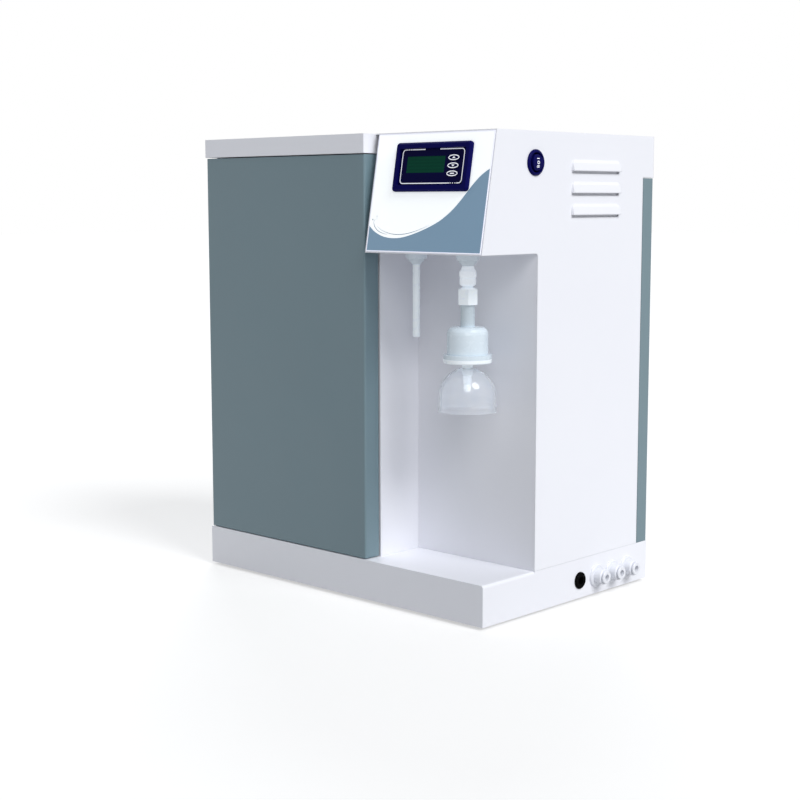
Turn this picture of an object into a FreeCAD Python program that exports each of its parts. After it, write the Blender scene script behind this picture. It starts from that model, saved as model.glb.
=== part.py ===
import FreeCAD, Part
import math
import os
import re
import Sketcher

# Ultrapure water system: a sheet-metal bench cabinet with a dispensing bay in its right front.
# Millimetres. +Z is up, +X is right as seen from the front, and the front faces -Y.
# The origin lies on the bench, in the middle of the footprint with the ports included.

SIZES = {
    # cabinet
    "cabinet_width": 400,
    "cabinet_depth": 272,
    "cabinet_height": 470,
    "foot_height": 3,
    "foot_radius": 9,
    "foot_inset": 22,
    "plate": 1.2,
    "plinth_height": 41,
    "plinth_lip": 34,
    "lid_band": 19.2,
    "seam": 1,
    "corner_radius": 2,
    # dispensing bay and head
    "bay_width": 156,
    "bay_depth": 79,
    "bay_corner": 3,
    "head_height": 116.5,
    "head_side_gap": 4.8,
    "fascia_reach": 4.4,
    "fascia_setback": 16.5,
    # covers
    "cover_depth": 19.5,
    "cover_gap": 1.1,
    "cover_setback": 1,
    "swing_gap": 1.6,
    "rear_strip": 19,
    "rear_cover_height": 386.5,
    "pivot_inset": 8,
    "pivot_back": 12,
    "pin_radius": 2,
    "pin_length": 7,
    "pin_clearance": 0.06,
    "washer_radius": 4,
    "washer_gap": 0.1,
    "screw_head_radius": 3.6,
    "screw_head_height": 1.8,
    "screw_radius": 1.9,
    "screw_length": 9,
    "magnet_width": 14,
    "magnet_length": 36,
    "magnet_gap": 0.4,
    # louvres in the right side
    "louvre_length": 80,
    "louvre_start": 131,
    "louvre_drop": 37,
    "louvre_pitch": 21.5,
    "louvre_rise": 13,
    "louvre_bulge": 3.2,
    "louvre_brow": 0.6,
    "louvre_slot": 2.4,
    "louvre_round": 9,
    # power switch
    "switch_back": 73.6,
    "switch_drop": 30,
    "switch_bezel_radius": 12.5,
    "switch_bezel_height": 2.2,
    "switch_barrel_radius": 10.6,
    "switch_barrel_depth": 18,
    "switch_edge": 1.2,
    "switch_well_lead": 0.6,
    "switch_well_radius": 9.2,
    "rocker_radius": 7.75,
    "rocker_proud": 1.8,
    "rocker_depth": 4.5,
    "rocker_crown": 18,
    "trunnion_radius": 1.5,
    # printed overlay and panel meter
    "overlay_thickness": 0.4,
    "overlay_border": 1.5,
    "meter_start": 29.1,
    "meter_rise": 60,
    "meter_width": 97,
    "meter_height": 47.5,
    "meter_corner": 3.5,
    "bezel_height": 4,
    "bezel_rim": 6,
    "bezel_bevel": 1.8,
    "face_gap": 0.05,
    "meter_wall": 2,
    "meter_depth": 42,
    "faceplate_thickness": 1.2,
    "faceplate_recess": 1.2,
    "window_width": 49,
    "window_height": 16,
    "window_start": 14.9,
    "window_rise": 18.2,
    "window_thickness": 0.9,
    "window_inset": 0.2,
    "key_width": 13.6,
    "key_height": 5.2,
    "key_side_gap": 4.6,
    "key_rise": 24.6,
    "key_pitch": 7.6,
    "key_gap": 0.15,
    "key_proud": 0.9,
    "key_skirt": 0.8,
    "key_skirt_over": 0.5,
    "key_stem_radius": 1.2,
    "key_travel": 0.8,
    "board_back": 12,
    "board_thickness": 1.6,
    "key_sensor_width": 4,
    "board_pillar_width": 10,
    # outlets over the bay
    "outlet_back": 40,
    "spout_across": 33,
    "spout_radius": 3.6,
    "spout_wall": 1,
    "spigot_step": 0.3,
    "spout_length": 84.7,
    "spout_flange_radius": 10.7,
    "outlet_flange_radius": 11.5,
    "outlet_flange_height": 6.8,
    "outlet_cone_height": 5.4,
    "cone_low_step": 1.4,
    "cone_ledge": 1.2,
    "cone_high_step": 0.6,
    "flange_edge": 1.2,
    "outlet_thread_radius": 6,
    "outlet_bore": 2.2,
    "thread_gap": 0.15,
    "locknut_flats": 21,
    "locknut_height": 6,
    "outlet_thread_length": 16,
    "filter_across": 101,
    "coupling_ball_radius": 8.3,
    "coupling_ball_height": 11.6,
    "coupling_ring_radius": 7.9,
    "coupling_ring_height": 7.2,
    "coupling_tip_over": 0.6,
    "ball_top_in": 2.6,
    "ball_brow_in": 1.8,
    "ball_side_in": 0.3,
    "ball_foot_in": 0.2,
    "ball_foot_height": 0.8,
    "ring_groove": 0.6,
    "ring_edge": 1.5,
    "thread_relief": 1,
    "union_bore_rise": 2,
    "coupling_neck_radius": 5.2,
    "coupling_neck_height": 3.2,
    "union_thread_radius": 7,
    "union_bore": 5.1,
    "union_flats": 18.2,
    "union_clocking": 13.4,
    "union_chamfer": 0.5,
    "union_height": 15.2,
    "union_lip": 1.7,
    "union_gap": 0.06,
    "ferrule_height": 3.6,
    "ferrule_edge": 1,
    "tail_radius": 5,
    "tail_length": 8,
    "stem_radius": 7,
    "stem_length": 21.4,
    "capsule_radius": 20.2,
    "capsule_shoulder": 7,
    "capsule_height": 27,
    "capsule_wall": 1.6,
    "capsule_flange_radius": 23.6,
    "capsule_flange_height": 8.4,
    "barb_root_radius": 5.3,
    "barb_middle_radius": 4.2,
    "barb_tip_radius": 3.6,
    "barb_root_length": 13,
    "barb_middle_length": 8.2,
    "barb_tip_length": 6.8,
    "barb_lead": 1.5,
    "barb_land": 1.2,
    "barb_in": 0.7,
    "barb_tip_in": 0.9,
    "capsule_flange_edge": 1,
    "bell_radius": 28.9,
    "bell_wall": 1.4,
    "bell_drop": 4.2,
    "bell_height": 43.2,
    "bell_rim": 4,
    "bell_fit": 0.05,
    # service side of the plinth
    "grommet_back": 153.4,
    "service_rise": 18.5,
    "grommet_radius": 8.75,
    "grommet_bore": 4,
    "grommet_height": 2,
    "grommet_length": 7,
    "grommet_edge": 1,
    "grommet_taper": 1.5,
    "port_back": 182,
    "port_pitch": 26.5,
    "port_flange_radius": 11.65,
    "port_flange_height": 2.5,
    "port_edge": 0.8,
    "port_radius": 8,
    "port_reach": 11,
    "port_thread_radius": 7.2,
    "port_thread_length": 13,
    "tube_bore": 3.25,
    "collet_radius": 5.4,
    "collet_proud": 1.5,
    "collet_length": 7,
    "collet_fit": 0.08,
    "collet_travel": 1.3,
    "collet_rim": 1.2,
    "collet_edge": 0.4,
    # what the cabinet holds
    "rack_back": 108,
    "rack_height": 340,
    "rack_flange": 10,
    "cartridge_radius": 33,
    "cartridge_gap": 5,
    "cartridge_side_gap": 8.5,
    "cartridge_height": 292,
    "cartridge_cap_height": 34,
    "cartridge_cap_over": 2.5,
    "cartridge_foot_edge": 1.5,
    "cartridge_groove": 1,
    "cartridge_top_edge": 3,
    "cartridge_nozzle_radius": 6,
    "cartridge_nozzle_height": 16,
    "clip_thickness": 2,
    "clip_height": 22,
    "clip_gap": 0.3,
    "clip_reach": 12,
    "clip_mouth": 0.4,
    "vessel_radius": 38,
    "vessel_height": 330,
    "column_radius": 32,
    "column_height": 300,
    "reactor_radius": 26,
    "reactor_height": 310,
    "lamp_radius": 8,
    "lamp_cap_height": 18,
    "lamp_cap_over": 4,
    "reactor_wall": 1.5,
    "vessel_wall": 4,
    "vessel_chamfer": 3,
    "rear_row_start": 56,
    "rear_row_pitch": 80,
    "service_inset": 41,
    "pump_start": 264,
    "pump_motor_radius": 28,
    "pump_motor_length": 78,
    "pump_foot_height": 10,
    "pump_head_length": 40,
    "pump_head_width": 56,
    "pump_wall": 6,
    "shaft_radius": 4,
    "shaft_fit": 0.05,
    "cam_radius": 10,
    "cam_offset": 2,
    "supply_start": 292,
    "supply_rise": 20,
    "supply_width": 98,
    "supply_height": 160,
    "supply_depth": 44,
    "board_start": 262,
    "board_rise": 205,
    "board_width": 126,
    "board_height": 96,
    "standoff_height": 8,
    "standoff_radius": 3,
    "standoff_inset": 8,
    "hose_radius": 4,
    "hose_bend": 12,
    "hose_low_rise": 10,
    "hose_step": 10,
    "inlet_valve_start": 60,
    "flush_valve_start": 130,
    "pressure_switch_start": 196,
    "pressure_switch_radius": 11,
    "pressure_switch_height": 30,
    "pressure_switch_step": 3,
    "valve_body_height": 18,
    "valve_seat": 7,
    "valve_body_width": 26,
    "valve_coil_radius": 14,
    "valve_coil_height": 32,
    "plunger_radius": 4.5,
    "plunger_length": 20,
    "plunger_travel": 3,
    "plunger_fit": 0.06,
}

# Places that follow from the sizes. Each one may use the ones above it.
PLACES = {
    "port_tip": "port_reach + collet_fit + collet_travel + collet_proud",
    "left_x": "-(cabinet_width + port_tip) / 2",
    "right_x": "left_x + cabinet_width",
    "front_y": "-cabinet_depth / 2",
    "rear_y": "cabinet_depth / 2",
    "base_z": "foot_height",
    "plinth_z": "base_z + plinth_height",
    "top_z": "base_z + cabinet_height",
    "head_z": "top_z - head_height",
    "band_z": "top_z - lid_band",
    "bay_x": "right_x - bay_width",
    "bay_y": "front_y + bay_depth",
    "head_x": "bay_x + head_side_gap",
    "strip_y": "rear_y - rear_strip",
    "rear_cover_z": "plinth_z + rear_cover_height",
    "fascia_tilt": "atan((fascia_reach + fascia_setback) / head_height)",
    "fascia_y": "front_y - fascia_reach",
    "slope_length": "head_height / cos(fascia_tilt)",
    "cover_y": "front_y + cover_setback",
    "cover_left_x": "left_x + seam / 2",
    "cover_right_x": "bay_x - cover_gap",
    "cover_low_z": "plinth_z + seam",
    "cover_high_z": "band_z - seam",
    "cover_back_y": "cover_y + cover_depth",
    "stop_y": "cover_back_y + swing_gap",
    "pivot_x": "left_x + pivot_inset",
    "pivot_y": "front_y + pivot_back",
    "side_start_y": "cover_back_y + swing_gap",
    "switch_y": "front_y + switch_back",
    "switch_z": "top_z - switch_drop",
    "louvre_y": "front_y + louvre_start",
    "meter_x": "head_x + meter_start",
    "key_start": "window_start + window_width + key_side_gap + key_width / 2",
    "outlet_y": "front_y + outlet_back",
    "spout_x": "bay_x + spout_across",
    "filter_x": "bay_x + filter_across",
    "cone_z": "head_z - outlet_flange_height - outlet_cone_height",
    "neck_z": "cone_z - coupling_ball_height - coupling_ring_height - coupling_neck_height",
    "union_z": "neck_z - union_height",
    "capsule_z": "union_z - stem_length",
    "flange_z": "capsule_z - capsule_height",
    "barb_z": "flange_z - capsule_flange_height",
    "bell_z": "barb_z - bell_drop",
    "dome_radius": "bell_radius - bell_wall / 2",
    "service_z": "base_z + service_rise",
    "rack_y": "front_y + rack_back",
    "cartridge_y": "rack_y - cartridge_radius - cartridge_cap_over - clip_thickness - clip_gap",
    "service_y": "rear_y - service_inset",
    "tank_y": "front_y + port_back + 2 * port_pitch",
    "shaft_z": "plinth_z + pump_foot_height + pump_motor_radius",
    "rack_rear_y": "rack_y + plate",
    "deck_z": "plinth_z",
    "cartridge_start": "cartridge_side_gap + cartridge_cap_over + cartridge_radius",
    "cartridge_pitch": "2 * (cartridge_radius + cartridge_cap_over) + cartridge_gap",
    "spigot_radius": "spout_radius - spigot_step",
    "stem_z": "head_z + outlet_thread_length",
    "hose_low_z": "max(deck_z + rack_height + hose_low_rise; stem_z + hose_bend + hose_radius)",
}


doc = FreeCAD.newDocument("UltrapureWaterSystem")
sheet = doc.addObject("Spreadsheet::Sheet", "Sizes")
for row, (name, value) in enumerate(SIZES.items(), 1):
    sheet.set(f"A{row}", name)
    sheet.set(f"B{row}", str(value))
    sheet.setAlias(f"B{row}", name)
doc.recompute()
places = doc.addObject("App::VarSet", "Places")


def spelled(text):
    """Turn the plain names in an expression into the document's own names."""
    def full(match):
        word = match.group(0)
        if word in SIZES:
            return "Sizes." + word
        if word in PLACES:
            return "Places." + word
        return word
    return re.sub(r"[a-z][a-z_]+", full, str(text))


for name, text in PLACES.items():
    places.addProperty("App::PropertyFloat", name)
    places.setExpression(name, spelled(text).replace("Places.", ""))
working = doc.addObject("App::VarSet", "Working")
working.addProperty("App::PropertyFloat", "value")
doc.recompute()

NODES = {}
UPRIGHT = FreeCAD.Rotation()
ALONG_X = FreeCAD.Rotation(FreeCAD.Vector(0, 1, 0), 90)
ALONG_Y = FreeCAD.Rotation(FreeCAD.Vector(1, 0, 0), -90)


def number(text):
    """The value of an expression at the document's present sizes."""
    working.setExpression("value", spelled(text))
    working.recompute()
    return working.value


def bind(thing, **properties):
    """Bind properties of an object to expressions; at=(x, y, z) binds its place."""
    at = properties.pop("at", None)
    for name, text in properties.items():
        thing.setExpression(name, spelled(text))
    if at:
        for axis, text in zip("xyz", at):
            thing.setExpression(f"Placement.Base.{axis}", spelled(text))
    return thing


def box(name, corner, size):
    """A block with its low corner at (x, y, z), each a number or an expression."""
    block = doc.addObject("Part::Box", name)
    return bind(block, Length=size[0], Width=size[1], Height=size[2], at=corner)


def rod(name, start, radius, length, turn=UPRIGHT):
    """A cylinder that starts at a point and runs along +Z, or along the turned axis."""
    cylinder = doc.addObject("Part::Cylinder", name)
    cylinder.Placement = FreeCAD.Placement(FreeCAD.Vector(), turn)
    return bind(cylinder, Radius=radius, Height=length, at=start)


def hexagon(name, start, flats, length, turn=UPRIGHT):
    """A hexagonal bar, by its size across the flats."""
    prism = doc.addObject("Part::Prism", name)
    prism.Polygon = 6
    prism.Placement = FreeCAD.Placement(FreeCAD.Vector(), turn)
    return bind(prism, Circumradius=f"({flats}) / sqrt(3)", Height=length, at=start)


def fused(name, *pieces):
    joined = doc.addObject("Part::MultiFuse", name)
    joined.Shapes = list(pieces)
    joined.Refine = True
    return joined


def cut(name, base, *tools):
    hollowed = doc.addObject("Part::Cut", name)
    hollowed.Base = base
    hollowed.Tool = tools[0] if len(tools) == 1 else fused(name + "Tools", *tools)
    return hollowed


def grouped(name, pieces):
    """Separate solids that share one node."""
    together = doc.addObject("Part::Compound", name)
    together.Links = list(pieces)
    return together


def node(label, thing):
    """Give a finished sub-part its own label, which names its file."""
    thing.Label = label
    NODES[label] = thing
    return thing


def rounded(name, base, radius, wanted):
    """Round the edges whose midpoint and direction the test accepts."""
    doc.recompute()
    value = number(radius)
    chosen = []
    for index, edge in enumerate(base.Shape.Edges, 1):
        middle = edge.valueAt((edge.FirstParameter + edge.LastParameter) / 2)
        start = edge.Vertexes[0].Point
        span = edge.Vertexes[-1].Point.sub(start)
        if wanted(middle, span):
            chosen.append((index, value, value))
    fillet = doc.addObject("Part::Fillet", name)
    fillet.Base = base
    fillet.Edges = chosen
    return fillet


def near(value, *targets):
    return any(abs(value - target) < 0.01 for target in targets)


def runs(span, axis):
    """True where a straight edge runs along one axis only."""
    others = [part for index, part in enumerate(span) if index != "xyz".index(axis)]
    return max(abs(part) for part in others) < 0.001


def outline(body, name, plane, points):
    """A closed sketch on one of a body's origin planes, with each corner bound to its place."""
    sketch = body.newObject("Sketcher::SketchObject", name)
    planes = {feature.Role: feature for feature in body.Origin.OriginFeatures}
    sketch.AttachmentSupport = [(planes[plane], "")]
    sketch.MapMode = "FlatFace"
    corners = [FreeCAD.Vector(number(x), number(y), 0) for x, y in points]
    count = len(points)
    for index in range(count):
        sketch.addGeometry(Part.LineSegment(corners[index], corners[(index + 1) % count]), False)
    for index in range(count):
        sketch.addConstraint(Sketcher.Constraint("Coincident", index, 2, (index + 1) % count, 1))
    for index, (x, y) in enumerate(points):
        for kind, text, value in (("X", x, corners[index].x), ("Y", y, corners[index].y)):
            place = sketch.addConstraint(Sketcher.Constraint("Distance" + kind, -1, 1, index, 1, value))
            sketch.renameConstraint(place, f"corner{index}{kind}")
            sketch.setExpression(f"Constraints.corner{index}{kind}", spelled(text))
    return sketch


def turned(name, at, profile, turn=UPRIGHT):
    """A body turned about its own +Z axis from (radius, height) corners."""
    body = doc.addObject("PartDesign::Body", name)
    sketch = outline(body, name + "Profile", "XZ_Plane", profile)
    round_part = body.newObject("PartDesign::Revolution", name + "Turned")
    round_part.Profile = sketch
    round_part.ReferenceAxis = (sketch, ["V_Axis"])
    round_part.Angle = 360
    body.Placement = FreeCAD.Placement(FreeCAD.Vector(), turn)
    return bind(body, at=at)


def plate_body(name, plane, points, thickness, at=(0, 0, 0)):
    """A flat plate padded from an outline."""
    body = doc.addObject("PartDesign::Body", name)
    sketch = outline(body, name + "Outline", plane, points)
    pad = body.newObject("PartDesign::Pad", name + "Pad")
    pad.Profile = sketch
    bind(pad, Length=thickness)
    return bind(body, at=at)


def on_fascia(thing, across, up, out):
    """Stand a piece on the slope: across it, up it, and out of it."""
    thing.Placement = FreeCAD.Placement(FreeCAD.Vector(), FreeCAD.Rotation(FreeCAD.Vector(1, 0, 0), 80))
    thing.setExpression("Placement.Rotation.Angle", spelled("90 - fascia_tilt"))
    y = f"fascia_y + ({up}) * sin(fascia_tilt) - ({out}) * cos(fascia_tilt)"
    z = f"head_z + ({up}) * cos(fascia_tilt) + ({out}) * sin(fascia_tilt)"
    return bind(thing, at=(across, y, z))


def slope_box(name, corner, size):
    """A block on the slope, by (across, up, out) and its three sizes."""
    block = doc.addObject("Part::Box", name)
    bind(block, Length=size[0], Width=size[1], Height=size[2])
    return on_fascia(block, *corner)


# ---- cabinet ----

def feet():
    """Four rubber feet under the corners of the base."""
    pieces = []
    for side, across in (("Left", "left_x + foot_inset"), ("Right", "right_x - foot_inset")):
        for end, along in (("Front", "front_y + foot_inset"), ("Rear", "rear_y - foot_inset")):
            pieces.append(rod(f"Foot{side}{end}", (across, along, 0), "foot_radius", "foot_height"))
    return node("rubber_feet", grouped("Feet", pieces))


def service_hole(name, back, radius):
    """A hole through the right wall of the base, a distance behind the front."""
    start = ("right_x - 3 * plate", f"front_y + {back}", "service_z")
    return rod(name, start, radius, "6 * plate", ALONG_X)


def port_places():
    """How far behind the front each of the three ports lies."""
    return {"Feed": "port_back", "Waste": "port_back + port_pitch", "Tank": "port_back + 2 * port_pitch"}


def hose_feet():
    """Where each port's hose comes up through the deck, under the piece that it feeds."""
    return [
        ("Feed", "left_x + inlet_valve_start", "service_y"),
        ("Waste", "left_x + flush_valve_start", "service_y"),
        ("Tank", "left_x + pressure_switch_start", "tank_y"),
    ]


def base_edge(name):
    """What the rounded edge between the deck and the base's right side takes away, before the bay."""
    corner = ("right_x - bay_corner", "front_y - plate", "plinth_z - bay_corner")
    square = box(name + "Blank", corner, ("2 * bay_corner", "bay_depth + plate", "2 * bay_corner"))
    kept = rod(name + "Kept", corner, "bay_corner", "bay_depth + 2 * plate", ALONG_Y)
    return cut(name, square, kept)


def base_pan():
    """A tray turned upside down and open to the right: three walls, a deck, and a lip for the feet."""
    outer_size = ("cabinet_width", "cabinet_depth", "plinth_height")
    outer = box("BaseBlock", ("left_x", "front_y", "base_z"), outer_size)
    hollow = box(
        "BaseHollow",
        ("left_x + plate", "front_y + plate", "base_z + plate"),
        ("cabinet_width", "cabinet_depth - 2 * plate", "plinth_height - 2 * plate"),
    )
    window = box(
        "BaseWindow",
        ("left_x + plinth_lip", "front_y + plinth_lip", "base_z - plate"),
        ("cabinet_width - 2 * plinth_lip", "cabinet_depth - 2 * plinth_lip", "3 * plate"),
    )
    holes = []
    for name, start, depth in hose_feet():
        below = (start, depth, "deck_z - 2 * plate")
        holes.append(rod(f"Hose{name}Hole", below, "hose_radius", "4 * plate"))
    pin_hole = rod("PinSeatLow", ("pivot_x", "pivot_y", "deck_z - 2 * plate"), "pin_radius", "4 * plate")
    return node("base_pan", cut("BasePan", outer, hollow, window, pin_hole, base_edge("DeckEdge"), *holes))


def base_end_panel():
    """The sheet that closes the base's right side, with the holes for the grommet and the ports."""
    sheet = box(
        "BaseEndSheet",
        ("right_x - plate", "front_y + plate", "base_z + plate"),
        ("plate", "cabinet_depth - 2 * plate", "plinth_height - 2 * plate"),
    )
    holes = [service_hole("GrommetHole", "grommet_back", "grommet_radius - grommet_height")]
    for name, back in port_places().items():
        holes.append(service_hole(f"Port{name}Hole", back, "port_thread_radius + thread_gap"))
    return node("base_end_panel", cut("BaseEndPanel", sheet, base_edge("EndEdge"), *holes))


def louvre(index, z):
    """One pressed hood: what it adds to the panel, and what is cut out behind it."""
    def wedge(name, low, high, reach, back, inset):
        brow = (f"louvre_brow * ({reach})", f"{low} + louvre_brow * ({high} - ({low}))")
        points = [(f"-{back}", low), (reach, low), (reach, f"{low} + plate"), brow, (f"-{back}", high)]
        across = f"louvre_y + louvre_length - {inset}"
        return plate_body(name, "XZ_Plane", points, f"louvre_length - 2 * {inset}", ("right_x", across, z))

    def rounded_block(name, inset):
        corner = ("right_x - 3 * plate", f"louvre_y + {inset}", f"{z} - 2 * plate")
        width = f"louvre_length - 2 * {inset}"
        size = ("3 * plate + louvre_bulge", width, f"louvre_rise - {inset} + 2 * plate")
        block = box(name + "Block", corner, size)
        doc.recompute()
        high = block.Shape.BoundBox.ZMax
        return rounded(name, block, "louvre_round", lambda at, span: near(at.z, high) and runs(span, "x"))

    def shared(name, first, second):
        common = doc.addObject("Part::Common", name)
        common.Base = first
        common.Tool = second
        return common

    name = f"Louvre{index}"
    skin = wedge(name + "Wedge", "0", "louvre_rise", "louvre_bulge", "plate", "0")
    hood = shared(name, skin, rounded_block(name + "Frame", "0"))
    core_top = "louvre_rise - 2 * plate"
    core = wedge(name + "Core", "-plate", core_top, "louvre_bulge - plate", "2 * plate", "plate")
    throat = shared(name + "Throat", core, rounded_block(name + "ThroatFrame", "plate"))
    slot = box(
        name + "Slot",
        ("right_x - 2 * plate", "louvre_y + plate", f"{z} - louvre_slot"),
        ("3 * plate", "louvre_length - 2 * plate", "louvre_slot + plate"),
    )
    return hood, [throat, slot]


def right_side_panel():
    """The whole right side in one sheet: its front edge follows the slope, and the bay is cut out."""
    corners = [
        ("bay_y", "plinth_z"),
        ("strip_y", "plinth_z"),
        ("strip_y", "rear_cover_z"),
        ("rear_y", "rear_cover_z"),
        ("rear_y", "top_z"),
        ("front_y + fascia_setback", "top_z"),
        ("fascia_y", "head_z"),
        ("bay_y", "head_z"),
    ]
    blank = plate_body("RightSheet", "YZ_Plane", corners, "plate", ("right_x - plate", 0, 0))
    doc.recompute()
    bay_y = number("bay_y")
    head_z = number("head_z")
    sheet_side = rounded(
        "RightSheetRound", blank, "bay_corner",
        lambda at, span: near(at.y, bay_y) and near(at.z, head_z) and runs(span, "x"),
    )
    hoods = []
    gaps = []
    for index in range(3):
        hood, openings = louvre(index, f"top_z - louvre_drop - {index} * louvre_pitch")
        hoods.append(hood)
        gaps.extend(openings)
    start = ("right_x - 2 * plate", "switch_y", "switch_z")
    gaps.append(rod("SwitchHole", start, "switch_barrel_radius + thread_gap", "3 * plate", ALONG_X))
    return node("right_side_panel", cut("RightPanel", fused("RightSheetHoods", sheet_side, *hoods), *gaps))


def left_side_panel():
    corners = [
        ("side_start_y", "plinth_z"),
        ("strip_y", "plinth_z"),
        ("strip_y", "rear_cover_z"),
        ("rear_y - plate", "rear_cover_z"),
        ("rear_y - plate", "band_z"),
        ("side_start_y", "band_z"),
    ]
    sheet_side = plate_body("LeftPanel", "YZ_Plane", corners, "plate", ("cover_left_x", 0, 0))
    return node("left_side_panel", sheet_side)


def top_cover():
    """The lid: a top sheet with bands down the front, left and rear, and a return over the door."""
    lid_start = "front_y + fascia_setback + plate / cos(fascia_tilt)"
    corners = [
        ("left_x", "front_y"),
        ("cover_right_x", "front_y"),
        ("cover_right_x", lid_start),
        ("right_x - plate", lid_start),
        ("right_x - plate", "rear_y"),
        ("left_x", "rear_y"),
    ]
    top = plate_body("LidTop", "XY_Plane", corners, "plate", (0, 0, "top_z - plate"))
    low = ("left_x", "front_y", "band_z")
    front = box("LidFront", low, ("cover_right_x - left_x", "plate", "lid_band"))
    left = box("LidLeft", low, ("plate", "cabinet_depth", "lid_band"))
    back_corner = ("left_x", "rear_y - plate", "rear_cover_z")
    back = box("LidRear", back_corner, ("cabinet_width - plate", "plate", "top_z - rear_cover_z"))
    lip = box("LidReturn", low, ("cover_right_x - left_x", "stop_y - front_y", "plate"))
    end_corner = ("cover_right_x - plate", "front_y", "band_z")
    end = box("LidEnd", end_corner, ("plate", "stop_y - front_y", "lid_band"))
    pin_hole = rod("PinSeatHigh", ("pivot_x", "pivot_y", "band_z - plate"), "pin_radius", "3 * plate")
    sheets = fused("LidSheets", top, front, left, back, lip, end)
    return node("top_cover", cut("TopCover", sheets, pin_hole))


def bay_liner():
    """The folded sheet behind the bay: back wall, left wall, and the flange the door closes against."""
    wall_height = "head_z - plinth_z"
    stop_width = "magnet_width + cover_gap + 8 * plate"
    back = box(
        "BayBack",
        ("bay_x - plate", "bay_y", "plinth_z"),
        ("right_x - bay_x", "plate", wall_height),
    )
    wall = box("BayWall", ("bay_x - plate", "stop_y", "plinth_z"), ("plate", "bay_y - stop_y", wall_height))
    stop_corner = (f"bay_x - ({stop_width})", "stop_y", "plinth_z")
    stop = box("BayStop", stop_corner, (stop_width, "plate", wall_height))
    high = box(
        "BayStopHigh",
        (f"bay_x - ({stop_width})", "stop_y", "head_z"),
        (f"{stop_width} - plate", "plate", "band_z - head_z"),
    )
    filler = box(
        "BayFiller",
        ("bay_x - 2 * plate", "stop_y", "head_z + plate"),
        ("head_side_gap + 3 * plate", "plate", "band_z - head_z - plate"),
    )
    return node("bay_liner", fused("BayLiner", back, wall, stop, high, filler))


def head_fascia():
    """The head over the bay: a sloped front, its left cheek, and the bay's ceiling."""
    slope = slope_box(
        "SlopePlate",
        ("head_x", "0", "-plate"),
        ("right_x - plate - head_x", "slope_length", "plate"),
    )
    window = slope_box(
        "MeterOpening",
        ("meter_x + bezel_rim / 2", "meter_rise + bezel_rim / 2", "-3 * plate"),
        ("meter_width - bezel_rim", "meter_height - bezel_rim", "6 * plate"),
    )
    slope_band = "fascia_y + (band_z - head_z) * tan(fascia_tilt)"
    cheek_corners = [
        ("fascia_y", "head_z"),
        ("stop_y", "head_z"),
        ("stop_y", "band_z"),
        (slope_band, "band_z"),
    ]
    cheek = plate_body("HeadCheek", "YZ_Plane", cheek_corners, "plate", ("head_x", 0, 0))
    ceiling_corners = [
        ("head_x", "fascia_y + plate"),
        ("right_x - plate", "fascia_y + plate"),
        ("right_x - plate", "bay_y + plate"),
        ("bay_x - plate", "bay_y + plate"),
        ("bay_x - plate", "stop_y"),
        ("head_x", "stop_y"),
    ]
    ceiling = plate_body("HeadCeiling", "XY_Plane", ceiling_corners, "plate", (0, 0, "head_z"))
    holes = []
    for name, x in (("Spout", "spout_x"), ("Filter", "filter_x")):
        start = (x, "outlet_y", "head_z - plate")
        holes.append(rod(name + "Hole", start, "outlet_thread_radius + thread_gap", "3 * plate"))
    sheets = fused("HeadSheets", slope, cheek, ceiling)
    return node("head_fascia", cut("HeadFascia", sheets, window, *holes))


def pan(name, corner, size, closed_side):
    """A folded cover: a block, its closed side's upright edges rounded, and the block that hollows it."""
    x, y, z = corner
    width, depth, height = size

    def block(part, inset):
        start = f"{y} + {inset}" if closed_side == "front" else f"{y} - {inset}"
        low = (f"{x} + {inset}", start, f"{z} + {inset}")
        solid = box(part + "Block", low, (f"{width} - 2 * {inset}", depth, f"{height} - 2 * {inset}"))
        doc.recompute()
        edge_y = solid.Shape.BoundBox.YMin if closed_side == "front" else solid.Shape.BoundBox.YMax
        radius = f"corner_radius - {inset}"
        return rounded(part, solid, radius, lambda at, span: near(at.y, edge_y) and runs(span, "z"))
    return block(name + "Outer", "0"), block(name + "Inner", "plate")


def front_cover():
    """The service door that covers everything left of the bay, hung on two pins at its left."""
    corner = ("cover_left_x", "cover_y", "cover_low_z")
    size = ("cover_right_x - cover_left_x", "cover_depth", "cover_high_z - cover_low_z")
    outer, inner = pan("Door", corner, size, "front")
    bore = "pin_radius + pin_clearance"
    start = ("pivot_x", "pivot_y", "cover_low_z - plate")
    hole = rod("DoorPinHole", start, bore, "cover_high_z - cover_low_z + 2 * plate")
    return node("front_cover", cut("FrontCover", outer, inner, hole))


def rear_cover():
    corner = ("cover_left_x", "strip_y + seam / 2", "plinth_z")
    size = ("right_x - cover_left_x", "rear_strip - seam / 2", "rear_cover_height - seam / 2")
    outer, inner = pan("Rear", corner, size, "rear")
    holes = [
        rod(name + "Hole", start, "screw_radius", "4 * plate", ALONG_Y)
        for name, start in screw_places()
    ]
    return node("rear_cover", cut("RearCover", outer, inner, *holes))


def screw_places():
    """Where the four cover screws enter the rear face."""
    places_found = []
    for side, x in (("Left", "left_x + foot_inset"), ("Right", "right_x - foot_inset")):
        for end, z in (("Low", "plinth_z + foot_inset"), ("High", "rear_cover_z - foot_inset")):
            places_found.append((f"Screw{side}{end}", (x, "rear_y - 2 * plate", z)))
    return places_found


def housing_screws():
    pieces = []
    for name, (x, y, z) in screw_places():
        shank_start = (x, "rear_y - screw_length", z)
        shank = rod(name + "Shank", shank_start, "screw_radius", "screw_length", ALONG_Y)
        head = rod(name + "Head", (x, "rear_y", z), "screw_head_radius", "screw_head_height", ALONG_Y)
        pieces.append(fused(name, shank, head))
    return node("housing_screws", grouped("HousingScrews", pieces))


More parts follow.
